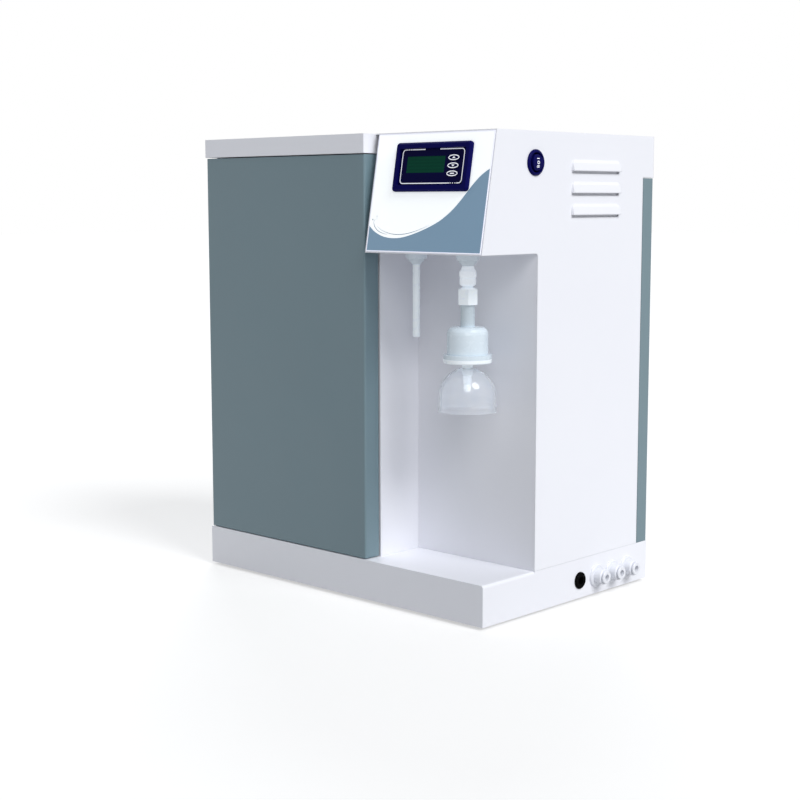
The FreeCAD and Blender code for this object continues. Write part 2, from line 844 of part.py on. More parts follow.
def door_pivot_pins():
    """Two pins: the lower one has a collar that the door stands on."""
    low = rod("PinLow", ("pivot_x", "pivot_y", "deck_z - 2 * plate"), "pin_radius", "pin_length + plate")
    collar = rod("PinCollar", ("pivot_x", "pivot_y", "deck_z"), "washer_radius", "seam - washer_gap")
    high = rod("PinHigh", ("pivot_x", "pivot_y", "cover_high_z - 3 * plate"), "pin_radius", "pin_length")
    return node("door_pivot_pins", grouped("DoorPins", [fused("PinLowCollar", low, collar), high]))


def door_magnets():
    """Two magnet blocks on the liner's flange, just behind the door's skin."""
    front = "cover_y + plate + magnet_gap"
    pieces = []
    for name, z in (("Low", "cover_low_z + magnet_length"), ("High", "cover_high_z - 2 * magnet_length")):
        corner = ("bay_x - magnet_width - cover_gap - 4 * plate", front, z)
        size = ("magnet_width", f"stop_y - ({front})", "magnet_length")
        pieces.append(box(f"Magnet{name}", corner, size))
    return node("door_magnets", grouped("DoorMagnets", pieces))


# ---- power switch in the right side ----

def switch_housing():
    """A round bezel and barrel, with a well for the rocker and two sockets for its trunnions."""
    profile = [
        ("switch_well_radius", "0"),
        ("switch_well_radius + switch_well_lead", "switch_bezel_height"),
        ("switch_bezel_radius - switch_edge", "switch_bezel_height"),
        ("switch_bezel_radius", "switch_bezel_height - switch_edge"),
        ("switch_bezel_radius", "0"),
        ("switch_barrel_radius", "0"),
        ("switch_barrel_radius", "-switch_barrel_depth"),
        ("0", "-switch_barrel_depth"),
        ("0", "-switch_barrel_depth + plate"),
        ("switch_well_radius", "-switch_barrel_depth + plate"),
    ]
    at = ("right_x", "switch_y", "switch_z")
    shell = turned("SwitchShell", at, profile, ALONG_X)
    start = ("right_x - rocker_depth", "switch_y - switch_barrel_radius - plate", "switch_z")
    length = "2 * switch_barrel_radius + 2 * plate"
    sockets = rod("SwitchSockets", start, "trunnion_radius + pin_clearance", length, ALONG_Y)
    return node("switch_housing", cut("SwitchHousing", shell, sockets))


def switch_rocker():
    """The rocker: a round cap with a crowned face, on two trunnions."""
    start = ("right_x - 2 * rocker_depth", "switch_y", "switch_z")
    length = "2 * rocker_depth + switch_bezel_height + rocker_proud"
    cap = rod("RockerCap", start, "rocker_radius", length, ALONG_X)
    crown_start = (
        "right_x + switch_bezel_height + rocker_proud - rocker_crown",
        "switch_y - 2 * rocker_radius",
        "switch_z",
    )
    crown = rod("RockerCrown", crown_start, "rocker_crown", "4 * rocker_radius", ALONG_Y)
    head = doc.addObject("Part::Common", "RockerHead")
    head.Base = cap
    head.Tool = crown
    pin_start = ("right_x - rocker_depth", "switch_y - switch_barrel_radius + plate / 2", "switch_z")
    trunnions = rod("RockerPins", pin_start, "trunnion_radius", "2 * switch_barrel_radius - plate", ALONG_Y)
    return node("switch_rocker", fused("SwitchRocker", head, trunnions))


# ---- fascia overlay and panel meter, all square to the slope ----

def sloped_plate(name, corner, size, radius):
    """A plate on the slope with its four corners rounded."""
    solid = doc.addObject("Part::Box", name + "Block")
    bind(solid, Length=size[0], Width=size[1], Height=size[2])
    return on_fascia(rounded(name, solid, radius, lambda at, span: runs(span, "z")), *corner)


def panel_overlay():
    """The printed sheet on the slope, cut away behind the meter."""
    low = ("head_x + overlay_border", "overlay_border", "0")
    width = "right_x - head_x - 2 * overlay_border"
    size = (width, "slope_length - 2 * overlay_border", "overlay_thickness")
    sheet_part = slope_box("OverlaySheet", low, size)
    hole = slope_box(
        "OverlayHole",
        ("meter_x + bezel_rim / 2", "meter_rise + bezel_rim / 2", "-plate"),
        ("meter_width - bezel_rim", "meter_height - bezel_rim", "3 * plate"),
    )
    return node("panel_overlay", cut("PanelOverlay", sheet_part, hole))


def meter_bezel():
    """The raised frame of the meter, bevelled along its outer edge."""
    base = sloped_plate(
        "BezelBase",
        ("meter_x", "meter_rise", "overlay_thickness"),
        ("meter_width", "meter_height", "bezel_height"),
        "meter_corner",
    )
    bevelled = doc.addObject("Part::Chamfer", "BezelBevel")
    bevelled.Base = base
    doc.recompute()
    outward = base.Placement.Rotation.multVec(FreeCAD.Vector(0, 0, 1))
    top = max(vertex.Point.dot(outward) for vertex in base.Shape.Vertexes)
    size = number("bezel_bevel")
    chosen = []
    for index, edge in enumerate(base.Shape.Edges, 1):
        ends = [vertex.Point.dot(outward) for vertex in edge.Vertexes]
        if all(near(end, top) for end in ends):
            chosen.append((index, size, size))
    bevelled.Edges = chosen
    opening = sloped_plate(
        "BezelOpening",
        ("meter_x + bezel_rim", "meter_rise + bezel_rim", "-bezel_height"),
        ("meter_width - 2 * bezel_rim", "meter_height - 2 * bezel_rim", "4 * bezel_height"),
        "meter_corner / 2",
    )
    return node("meter_bezel", cut("MeterBezel", bevelled, opening))


def faceplate_out():
    """How far out of the slope the faceplate's back lies."""
    return "overlay_thickness + bezel_height - bezel_bevel - faceplate_recess - faceplate_thickness"


def key_places():
    """Each key's place across and up the slope, its centre."""
    return [
        (name, "meter_x + key_start", f"meter_rise + key_rise + {index - 1} * key_pitch")
        for index, name in enumerate(("enter", "down", "up"))
    ]


def oval(name, across, up, out, grow, thickness):
    """A stadium-shaped block on the slope, centred on a point and grown by a margin."""
    width = f"(key_width + 2 * ({grow}))"
    height = f"(key_height + 2 * ({grow}))"
    middle = doc.addObject("Part::Box", name + "Middle")
    bind(middle, Length=f"{width} - {height}", Width=height, Height=thickness)
    on_fascia(middle, f"{across} - ({width} - {height}) / 2", f"{up} - {height} / 2", out)
    pieces = [middle]
    for side, sign in (("Left", "-"), ("Right", "+")):
        end = doc.addObject("Part::Cylinder", name + side)
        bind(end, Radius=f"{height} / 2", Height=thickness)
        pieces.append(on_fascia(end, f"{across} {sign} ({width} - {height}) / 2", up, out))
    return fused(name, *pieces)


def meter_faceplate():
    """The face behind the bezel, with openings for the display window and the keys."""
    back = faceplate_out()
    margin = "bezel_rim + face_gap"
    plate_part = sloped_plate(
        "FaceSheet",
        (f"meter_x + {margin}", f"meter_rise + {margin}", back),
        (f"meter_width - 2 * ({margin})", f"meter_height - 2 * ({margin})", "faceplate_thickness"),
        "meter_corner / 2 - face_gap",
    )
    openings = [
        slope_box(
            "WindowOpening",
            ("meter_x + window_start", "meter_rise + window_rise", f"{back} - plate"),
            ("window_width", "window_height", "3 * plate"),
        )
    ]
    for name, across, up in key_places():
        openings.append(oval(f"KeyHole_{name}", across, up, f"{back} - plate", "key_gap", "3 * plate"))
    return node("meter_faceplate", cut("MeterFaceplate", plate_part, *openings))


def lcd_window():
    back = f"{faceplate_out()} + faceplate_thickness - window_thickness - window_inset"
    pane = slope_box(
        "WindowPane",
        ("meter_x + window_start", "meter_rise + window_rise", back),
        ("window_width", "window_height", "window_thickness"),
    )
    return node("lcd_window", pane)


def board_face():
    """How far behind the slope the meter board's front face lies, as a place out of the slope."""
    return f"({faceplate_out()}) - board_back"


def meter_keys():
    """Three oval keys: each has a cap, a skirt that keeps it in, and a stem to its sensor."""
    back = faceplate_out()
    made = []
    for name, across, up in key_places():
        cap = oval(f"Cap_{name}", across, up, back, "0", "faceplate_thickness + key_proud")
        skirt_back = f"{back} - key_skirt - key_gap"
        skirt = oval(f"Skirt_{name}", across, up, skirt_back, "key_skirt_over", "key_skirt")
        neck = oval(f"Neck_{name}", across, up, f"{back} - key_gap", "0", "key_gap")
        stem = doc.addObject("Part::Cylinder", f"Stem_{name}")
        foot = f"({board_face()}) + 2 * plate + key_travel + key_gap"
        bind(stem, Radius="key_stem_radius", Height=f"({back}) - key_skirt - ({foot})")
        on_fascia(stem, across, up, foot)
        made.append(node(f"key_{name}", fused(f"Key_{name}", cap, neck, skirt, stem)))
    return made


def meter_case():
    """The open-fronted box behind the fascia, with a ledge that carries the meter board."""
    margin = "bezel_rim / 2 + face_gap"
    outer = slope_box(
        "CaseBlock",
        (f"meter_x + {margin}", f"meter_rise + {margin}", "-meter_depth"),
        (
            f"meter_width - 2 * ({margin})",
            f"meter_height - 2 * ({margin})",
            "meter_depth + overlay_thickness",
        ),
    )
    inner = slope_box(
        "CaseHollow",
        (
            f"meter_x + {margin} + meter_wall",
            f"meter_rise + {margin} + meter_wall",
            "meter_wall - meter_depth",
        ),
        (
            f"meter_width - 2 * ({margin} + meter_wall)",
            f"meter_height - 2 * ({margin} + meter_wall)",
            "2 * meter_depth",
        ),
    )
    return node("meter_case", cut("MeterCase", outer, inner))


def meter_board():
    """The board in the case, with the display module and the three key sensors on it."""
    margin = "bezel_rim / 2 + meter_wall + 2 * face_gap"
    back = f"({board_face()}) - board_thickness"
    board = slope_box(
        "MeterBoardSheet",
        (f"meter_x + {margin}", f"meter_rise + {margin}", back),
        (f"meter_width - 2 * ({margin})", f"meter_height - 2 * ({margin})", "board_thickness"),
    )
    module = slope_box(
        "DisplayModule",
        ("meter_x + window_start", "meter_rise + window_rise - plate", board_face()),
        ("window_width", "window_height + 2 * plate", "board_back - 2 * plate"),
    )
    half_pillar = "board_pillar_width / 2"
    pillar = slope_box(
        "BoardPillar",
        (
            f"meter_x + meter_width / 2 - {half_pillar}",
            f"meter_rise + meter_height / 2 - {half_pillar}",
            "meter_wall - meter_depth",
        ),
        ("board_pillar_width", "board_pillar_width", f"{back} + meter_depth - meter_wall"),
    )
    pieces = [board, module, pillar]
    for name, across, up in key_places():
        half = "key_sensor_width / 2"
        corner = (f"{across} - {half}", f"{up} - {half}", board_face())
        size = ("key_sensor_width", "key_sensor_width", "2 * plate")
        pieces.append(slope_box(f"Sensor_{name}", corner, size))
    return node("meter_board", fused("MeterBoard", *pieces))


# ---- outlets over the bay ----

def outlet_fitting(name, x, flange_radius, tip_radius, bore):
    """A bulkhead fitting: flange and stepped cone below the ceiling, threaded stem above it."""
    flange = "outlet_flange_height"
    low = "outlet_flange_height + outlet_cone_height"
    profile = [
        (bore, "outlet_thread_length"),
        (bore, f"-({low})"),
        (tip_radius, f"-({low})"),
        (f"{tip_radius} + cone_low_step", f"-({flange}) - outlet_cone_height / 2"),
        (f"{tip_radius} + cone_low_step + cone_ledge", f"-({flange}) - outlet_cone_height / 2"),
        (f"{tip_radius} + cone_low_step + cone_ledge + cone_high_step", f"-({flange})"),
        (f"{flange_radius} - flange_edge", f"-({flange})"),
        (flange_radius, f"-({flange}) + flange_edge"),
        (flange_radius, "0"),
        ("outlet_thread_radius", "0"),
        ("outlet_thread_radius", "outlet_thread_length"),
    ]
    return turned(name, (x, "outlet_y", "head_z"), profile)


def outlet_fittings():
    spout = outlet_fitting(
        "SpoutFitting", "spout_x", "spout_flange_radius", "spout_radius + spout_wall", "spigot_radius"
    )
    filter_side = outlet_fitting(
        "FilterFitting",
        "filter_x",
        "outlet_flange_radius",
        "coupling_neck_radius + coupling_tip_over",
        "outlet_bore",
    )
    return node("spout_fitting", spout), node("filter_fitting", filter_side)


def outlet_spout():
    """The rigid spout: its narrower spigot fills the fitting, and its shoulder seats below it."""
    shoulder = "-(outlet_flange_height + outlet_cone_height)"
    profile = [
        ("spout_radius - spout_wall", "outlet_thread_length"),
        ("spout_radius - spout_wall", "-spout_length"),
        ("spout_radius", "-spout_length"),
        ("spout_radius", shoulder),
        ("spigot_radius", shoulder),
        ("spigot_radius", "outlet_thread_length"),
    ]
    return node("outlet_spout", turned("OutletSpout", ("spout_x", "outlet_y", "head_z"), profile))


def locknuts():
    """The nuts that hold the outlets in the bay's ceiling and the ports in the base's right wall."""
    places_found = [
        (name, (x, "outlet_y", "head_z + plate"), "outlet_thread_radius", UPRIGHT)
        for name, x in (("Spout", "spout_x"), ("Filter", "filter_x"))
    ]
    for name, back in port_places().items():
        start = ("right_x - plate - locknut_height", f"front_y + {back}", "service_z")
        places_found.append((name, start, "port_thread_radius", ALONG_X))
    pieces = []
    for name, start, radius, turn in places_found:
        blank = hexagon(name + "NutBlank", start, "locknut_flats", "locknut_height", turn)
        bore = rod(name + "NutBore", start, radius, "locknut_height", turn)
        pieces.append(cut(name + "Nut", blank, bore))
    return node("locknuts", grouped("Locknuts", pieces))


def filter_coupling():
    """The coupling under the filter outlet: a ball, a grooved ring, a neck and a male thread."""
    ball = "coupling_ball_height"
    ring = "coupling_ball_height + coupling_ring_height"
    neck = f"{ring} + coupling_neck_height"
    thread = f"{neck} + union_height - union_lip - ferrule_height - tail_length / 8"
    profile = [
        ("outlet_bore", "0"),
        ("coupling_ball_radius - ball_top_in", "0"),
        ("coupling_ball_radius - ball_brow_in", f"-{ball} / 4"),
        ("coupling_ball_radius - ball_side_in", f"-{ball} / 2.4"),
        ("coupling_ball_radius", f"-{ball} * 0.62"),
        ("coupling_ball_radius - ball_foot_in", f"-{ball} + ball_foot_height"),
        ("coupling_ring_radius - ring_groove", f"-{ball}"),
        ("coupling_ring_radius", f"-{ball} - ring_groove"),
        ("coupling_ring_radius", f"-({ring}) + ring_edge"),
        ("coupling_ring_radius - ring_edge", f"-({ring})"),
        ("coupling_neck_radius", f"-({ring})"),
        ("coupling_neck_radius", f"-({neck}) + thread_relief"),
        ("union_thread_radius", f"-({neck}) + thread_relief"),
        ("union_thread_radius", f"-({thread})"),
        ("union_bore", f"-({thread})"),
        ("union_bore", f"-({neck}) - union_bore_rise"),
        ("outlet_bore", f"-({neck}) - union_bore_rise"),
    ]
    return node("filter_coupling", turned("FilterCoupling", ("filter_x", "outlet_y", "cone_z"), profile))


def union_nut():
    """The hexagonal nut that clamps the filter's tail to the coupling."""
    start = ("filter_x", "outlet_y", "union_z")
    clocking = FreeCAD.Rotation(FreeCAD.Vector(0, 0, 1), number("union_clocking"))
    blank = hexagon("UnionBlank", start, "union_flats", "union_height", clocking)
    trim = turned(
        "UnionTrim",
        start,
        [
            ("0", "0"),
            ("union_flats / sqrt(3) - union_chamfer", "0"),
            ("union_flats / sqrt(3)", "union_chamfer"),
            ("union_flats / sqrt(3)", "union_height - union_chamfer"),
            ("union_flats / sqrt(3) - union_chamfer", "union_height"),
            ("0", "union_height"),
        ],
    )
    body = doc.addObject("Part::Common", "UnionBody")
    body.Base = blank
    body.Tool = trim
    lip_start = ("filter_x", "outlet_y", "union_z - plate")
    lip = rod("UnionLip", lip_start, "tail_radius + union_gap", "3 * plate")
    thread_start = ("filter_x", "outlet_y", "union_z + union_lip")
    thread = rod("UnionThread", thread_start, "union_thread_radius + union_gap", "union_height")
    return node("union_nut", cut("UnionNut", body, lip, thread))


def union_ferrule():
    """The ring that grips the filter's tail above the nut's lip."""
    profile = [
        ("tail_radius", "0"),
        ("union_thread_radius", "0"),
        ("union_thread_radius", "ferrule_height - ferrule_edge"),
        ("union_thread_radius - ferrule_edge", "ferrule_height"),
        ("tail_radius", "ferrule_height"),
    ]
    at = ("filter_x", "outlet_y", "union_z + union_lip + union_gap")
    return node("union_ferrule", turned("UnionFerrule", at, profile))


def capsule_shell():
    """The filter's upper shell: tail, stem, rounded shoulder, and the bowl's wall and flange."""
    body = doc.addObject("PartDesign::Body", "CapsuleShell")
    low = "-(capsule_height + stem_length)"
    shoulder = "-stem_length"
    points = [
        ("outlet_bore", "tail_length"),
        ("tail_radius", "tail_length"),
        ("tail_radius", "-union_gap"),
        ("stem_radius", "-union_gap"),
        ("stem_radius", f"{shoulder}"),
        ("capsule_radius - capsule_shoulder", shoulder),
        ("capsule_radius - capsule_shoulder * 0.617", f"{shoulder} - capsule_shoulder * 0.076"),
        ("capsule_radius - capsule_shoulder * 0.293", f"{shoulder} - capsule_shoulder * 0.293"),
        ("capsule_radius - capsule_shoulder * 0.076", f"{shoulder} - capsule_shoulder * 0.617"),
        ("capsule_radius", f"{shoulder} - capsule_shoulder"),
        ("capsule_radius", low),
        ("capsule_flange_radius", low),
        ("capsule_flange_radius", f"{low} - capsule_flange_height / 2"),
        ("capsule_radius - capsule_wall", f"{low} - capsule_flange_height / 2"),
        ("capsule_radius - capsule_wall", f"{shoulder} - capsule_shoulder"),
        ("capsule_radius - capsule_shoulder", f"{shoulder} - capsule_wall"),
        ("outlet_bore", f"{shoulder} - capsule_wall"),
    ]
    sketch = outline(body, "CapsuleProfile", "XZ_Plane", points)
    shell = body.newObject("PartDesign::Revolution", "CapsuleTurned")
    shell.Profile = sketch
    shell.ReferenceAxis = (sketch, ["V_Axis"])
    shell.Angle = 360
    return node("capsule_shell", bind(body, at=("filter_x", "outlet_y", "union_z")))


def capsule_membrane():
    """The pleated membrane cartridge inside the shell, as its outer cylinder."""
    profile = [
        ("outlet_bore", "0"),
        ("capsule_radius - 2 * capsule_wall", "0"),
        ("capsule_radius - 2 * capsule_wall", "capsule_height - capsule_shoulder"),
        ("outlet_bore", "capsule_height - capsule_shoulder"),
    ]
    at = ("filter_x", "outlet_y", "flange_z - capsule_flange_height / 2")
    return node("capsule_membrane", turned("CapsuleMembrane", at, profile))


def capsule_base():
    """The filter's lower half: the mating flange and the three-step hose barb."""
    low = "capsule_flange_height / 2"
    root = "barb_root_length"
    middle = f"{root} + barb_middle_length"
    tip = f"{middle} + barb_tip_length"
    profile = [
        ("outlet_bore", f"{low}"),
        ("capsule_flange_radius", f"{low}"),
        ("capsule_flange_radius", "capsule_flange_edge"),
        ("capsule_flange_radius - capsule_flange_edge", "0"),
        ("barb_root_radius", "0"),
        ("barb_root_radius", f"-{root} + barb_lead"),
        ("barb_middle_radius - barb_in", f"-({root})"),
        ("barb_middle_radius", f"-({root}) - barb_land"),
        ("barb_middle_radius", f"-({middle}) + barb_lead"),
        ("barb_tip_radius - barb_in", f"-({middle})"),
        ("barb_tip_radius", f"-({middle}) - barb_land"),
        ("barb_tip_radius", f"-({tip}) + 2 * barb_lead"),
        ("barb_tip_radius - barb_tip_in", f"-({tip})"),
        ("outlet_bore", f"-({tip})"),
    ]
    return node("capsule_base", turned("CapsuleBase", ("filter_x", "outlet_y", "barb_z"), profile))


def filling_bell():
    """The clear bell on the barb's root: a half-sphere that drops to a straight skirt and a rim."""
    at = ("filter_x", "outlet_y")
    low = "bell_z - bell_height"

    def dome(name, radius, drop):
        ball = doc.addObject("Part::Sphere", name + "Dome")
        ball.Angle1 = 0
        bind(ball, Radius=radius, at=(*at, "bell_z - dome_radius"))
        start = (*at, f"{low} - {drop}")
        skirt = rod(name + "Skirt", start, radius, f"bell_height - dome_radius + {drop}")
        return fused(name, ball, skirt)

    rim = rod("BellRim", (*at, low), "bell_radius", "bell_rim")
    outer = fused("BellOuter", dome("BellSkin", "dome_radius", "0"), rim)
    inner = dome("BellHollow", "dome_radius - bell_wall", "bell_wall")
    neck = rod("BellNeck", (*at, "bell_z - dome_radius"), "barb_root_radius + bell_fit", "2 * dome_radius")
    return node("filling_bell", cut("FillingBell", outer, inner, neck))


# ---- cable grommet and ports in the right side of the base ----

def cable_grommet():
    profile = [
        ("grommet_bore", "grommet_height"),
        ("grommet_radius - grommet_edge", "grommet_height"),
        ("grommet_radius", "grommet_height - grommet_edge"),
        ("grommet_radius", "0"),
        ("grommet_radius - grommet_height", "0"),
        ("grommet_radius - grommet_height", "-plate"),
        ("grommet_radius - grommet_edge / 2", "-plate"),
        ("grommet_radius - grommet_taper", "grommet_height - grommet_length"),
        ("grommet_bore", "grommet_height - grommet_length"),
    ]
    at = ("right_x", "front_y + grommet_back", "service_z")
    return node("cable_grommet", turned("CableGrommet", at, profile, ALONG_X))


def port(name, back):
    """A bulkhead port: flange, body with a counterbore for the collet, and a threaded stem inside."""
    seat = "port_reach - collet_length - collet_travel - collet_fit"
    profile = [
        ("tube_bore", "-port_thread_length"),
        ("tube_bore", seat),
        ("collet_radius + collet_fit", seat),
        ("collet_radius + collet_fit", "port_reach"),
        ("port_radius - port_edge", "port_reach"),
        ("port_radius", "port_reach - port_edge"),
        ("port_radius", "port_flange_height"),
        ("port_flange_radius - port_edge", "port_flange_height"),
        ("port_flange_radius", "port_flange_height - port_edge"),
        ("port_flange_radius", "0"),
        ("port_thread_radius", "0"),
        ("port_thread_radius", "-port_thread_length"),
    ]
    at = ("right_x", f"front_y + {back}", "service_z")
    return turned(name + "Port", at, profile, ALONG_X)


def collet(label, back):
    """The ring that is pressed in to release the tube."""
    profile = [
        ("tube_bore", "port_reach - collet_length"),
        ("tube_bore", "port_tip"),
        ("collet_radius + collet_rim - collet_edge", "port_tip"),
        ("collet_radius + collet_rim", "port_tip - collet_edge"),
        ("collet_radius + collet_rim", "port_tip - collet_proud"),
        ("collet_radius", "port_tip - collet_proud"),
        ("collet_radius", "port_reach - collet_length"),
    ]
    at = ("right_x", f"front_y + {back}", "service_z")
    return node(label, turned(label + "_body", at, profile, ALONG_X))


def ports():
    bodies = []
    for name, back in port_places().items():
        bodies.append(port(name, back))
        collet(f"{name.lower()}_port_collet", back)
    return node("port_bodies", grouped("PortBodies", bodies))


# ---- what the cabinet holds ----

def cartridge_rack():
    """The upright sheet that divides the cabinet and carries everything inside."""
    start = "cover_left_x + plate"
    width = f"right_x - plate - ({start})"
    upright = box("RackSheet", (start, "rack_y", "deck_z"), (width, "plate", "rack_height"))
    foot = box("RackFoot", (start, "rack_rear_y", "deck_z"), (width, "rack_flange", "plate"))
    return node("cartridge_rack", fused("CartridgeRack", upright, foot))


def canister(name, x, y, radius, height):
    """A sealed canister: two wider end caps and a central nozzle."""
    wide = f"{radius} + cartridge_cap_over"
    cap = "cartridge_cap_height"
    profile = [
        ("0", "0"),
        (f"{wide} - cartridge_foot_edge", "0"),
        (wide, "cartridge_foot_edge"),
        (wide, cap),
        (radius, f"{cap} + cartridge_groove"),
        (radius, f"{height} - {cap} - cartridge_groove"),
        (wide, f"{height} - {cap}"),
        (wide, f"{height} - cartridge_top_edge"),
        (f"{wide} - cartridge_top_edge", height),
        ("cartridge_nozzle_radius + cartridge_top_edge", height),
        ("cartridge_nozzle_radius", f"{height} + cartridge_top_edge"),
        ("cartridge_nozzle_radius", f"{height} + cartridge_nozzle_height"),
        ("0", f"{height} + cartridge_nozzle_height"),
    ]
    return turned(name, (x, y, "deck_z"), profile)


def front_row():
    """The three cartridges behind the door, with the name and place of each."""
    return [
        (label, f"left_x + cartridge_start + {index} * cartridge_pitch")
        for index, label in enumerate(("sediment_cartridge", "carbon_cartridge", "deionising_cartridge"))
    ]


def rear_row():
    """What stands behind the rack: name, place across, and radius."""
    radii = {
        "membrane_vessel": "vessel_radius",
        "polishing_column": "column_radius",
        "uv_reactor": "reactor_radius",
    }
    return [
        (label, f"left_x + rear_row_start + {index} * rear_row_pitch", radius)
        for index, (label, radius) in enumerate(radii.items())
    ]


def behind_rack(radius):
    return f"rack_rear_y + clip_reach + clip_thickness + clip_gap + {radius}"


def cartridges():
    made = []
    for label, x in front_row():
        body = canister(label + "_body", x, "cartridge_y", "cartridge_radius", "cartridge_height")
        made.append(node(label, body))
    x = "left_x + rear_row_start + rear_row_pitch"
    y = behind_rack("column_radius")
    column = canister("polishing_column_body", x, y, "column_radius", "column_height")
    made.append(node("polishing_column", column))
    return made


def membrane_vessel():
    """The pressure vessel, and the wound membrane element inside it."""
    at = ("left_x + rear_row_start", behind_rack("vessel_radius"), "deck_z")
    inside = "vessel_radius - vessel_wall"
    profile = [
        ("0", "0"),
        ("vessel_radius", "0"),
        ("vessel_radius", "vessel_height - vessel_chamfer"),
        ("vessel_radius - vessel_chamfer", "vessel_height"),
        ("cartridge_nozzle_radius", "vessel_height"),
        ("cartridge_nozzle_radius", "vessel_height + cartridge_nozzle_height"),
        ("tube_bore", "vessel_height + cartridge_nozzle_height"),
        ("tube_bore", "vessel_height - 2 * vessel_wall"),
        (inside, "vessel_height - 2 * vessel_wall"),
        (inside, "2 * vessel_wall"),
        ("0", "2 * vessel_wall"),
    ]
    element = [
        ("0", "2 * vessel_wall"),
        (f"{inside} - clip_gap", "2 * vessel_wall"),
        (f"{inside} - clip_gap", "vessel_height - 2 * vessel_wall - cartridge_nozzle_radius"),
        ("0", "vessel_height - 2 * vessel_wall - cartridge_nozzle_radius"),
    ]
    vessel = node("membrane_vessel", turned("MembraneVessel", at, profile))
    return vessel, node("membrane_element", turned("MembraneElement", at, element))


def uv_reactor():
    """The steel chamber, and the lamp that hangs in it from its cap."""
    at = ("left_x + rear_row_start + 2 * rear_row_pitch", behind_rack("reactor_radius"), "deck_z")
    inside = "reactor_radius - reactor_wall"
    chamber = [
        ("0", "0"),
        ("reactor_radius", "0"),
        ("reactor_radius", "reactor_height"),
        ("lamp_radius", "reactor_height"),
        ("lamp_radius", "reactor_height - reactor_wall"),
        (inside, "reactor_height - reactor_wall"),
        (inside, "reactor_wall"),
        ("0", "reactor_wall"),
    ]
    lamp = [
        ("0", "2 * lamp_radius"),
        ("lamp_radius", "2 * lamp_radius"),
        ("lamp_radius", "reactor_height"),
        ("lamp_radius + lamp_cap_over", "reactor_height"),
        ("lamp_radius + lamp_cap_over", "reactor_height + lamp_cap_height"),
        ("0", "reactor_height + lamp_cap_height"),
    ]
    body = node("uv_reactor", turned("UvReactor", at, chamber))
    return body, node("uv_lamp", turned("UvLamp", at, lamp))


def clip(name, x, y, radius, z, side):
    """A spring clip on the rack: an open ring, and the foot that joins it to the sheet.

    The ring's mouth starts at clip_mouth of its reach past the middle, on the side away from the rack.
    """
    start = (x, y, z)
    ring = rod(name + "Ring", start, f"{radius} + clip_gap + clip_thickness", "clip_height")
    bore_start = (x, y, f"{z} - plate")
    bore = rod(name + "Bore", bore_start, f"{radius} + clip_gap", "clip_height + 2 * plate")
    reach = f"({radius} + clip_gap + 2 * clip_thickness)"
    away = f"{y} - 2 * {reach}" if side == "front" else f"{y} + {reach} * clip_mouth"
    mouth = box(
        name + "Mouth",
        (f"{x} - {reach}", away, f"{z} - plate"),
        (f"2 * {reach}", f"(2 - clip_mouth) * {reach}", "clip_height + 2 * plate"),
    )
    arms = cut(name + "Arms", ring, bore, mouth)
    if side == "front":
        foot_y = f"{y} + {radius} + clip_gap + clip_thickness / 2"
        foot_depth = f"rack_y - ({foot_y})"
    else:
        foot_y = "rack_rear_y"
        foot_depth = f"{y} - {radius} - clip_gap - clip_thickness / 2 - rack_rear_y"
    foot_start = (f"{x} - clip_reach / 2", foot_y, z)
    foot = box(name + "Foot", foot_start, ("clip_reach", foot_depth, "clip_height"))
    return fused(name, arms, foot)


def cartridge_clips():
    pieces = []
    for label, x in front_row():
        z = "deck_z + cartridge_height / 2"
        pieces.append(clip(f"Clip_{label}", x, "cartridge_y", "cartridge_radius", z, "front"))
    for label, x, radius in rear_row():
        z = "deck_z + column_height / 2"
        pieces.append(clip(f"Clip_{label}", x, behind_rack(radius), radius, z, "rear"))
    return node("cartridge_clips", grouped("CartridgeClips", pieces))


def booster_pump():
    """The motor on its foot, the pump head in front of it, and the shaft with its cam."""
    start = "left_x + pump_start"
    middle = f"{start} + pump_motor_length"
    axis_start = (start, "service_y", "shaft_z")
    shell = rod("MotorShell", axis_start, "pump_motor_radius", "pump_motor_length", ALONG_X)
    foot_corner = (f"{start} + pump_wall", "service_y - pump_motor_radius / 2", "deck_z")
    foot_size = ("pump_motor_length - 2 * pump_wall", "pump_motor_radius", "shaft_z - deck_z")
    foot = box("MotorFoot", foot_corner, foot_size)
    bore_start = (f"{start} + pump_wall", "service_y", "shaft_z")
    bore = rod("MotorBore", bore_start, "shaft_radius + shaft_fit", "pump_motor_length", ALONG_X)
    motor = node("pump_motor", cut("PumpMotor", fused("MotorBody", shell, foot), bore))

    block_corner = (middle, "service_y - pump_head_width / 2", "shaft_z - pump_head_width / 2")
    block = box("HeadBlock", block_corner, ("pump_head_length", "pump_head_width", "pump_head_width"))
    neck_start = (f"{middle} - plate", "service_y", "shaft_z")
    neck = rod("HeadNeck", neck_start, "shaft_radius + shaft_fit", "pump_head_length / 2", ALONG_X)
    room = rod(
        "CamRoom",
        (f"{middle} + pump_wall", "service_y", "shaft_z"),
        "cam_radius + 2 * cam_offset",
        "pump_head_length - 2 * pump_wall",
        ALONG_X,
    )
    head = node("pump_head", cut("PumpHead", block, neck, room))

    bar_start = (f"{start} + 2 * pump_wall", "service_y", "shaft_z")
    bar_length = "pump_motor_length + pump_head_length - 4 * pump_wall"
    bar = rod("ShaftBar", bar_start, "shaft_radius", bar_length, ALONG_X)
    cam_start = (f"{middle} + 2 * pump_wall", "service_y", "shaft_z + cam_offset")
    cam = rod("ShaftCam", cam_start, "cam_radius", "pump_head_length - 4 * pump_wall", ALONG_X)
    return motor, head, node("pump_shaft", fused("PumpShaft", bar, cam))


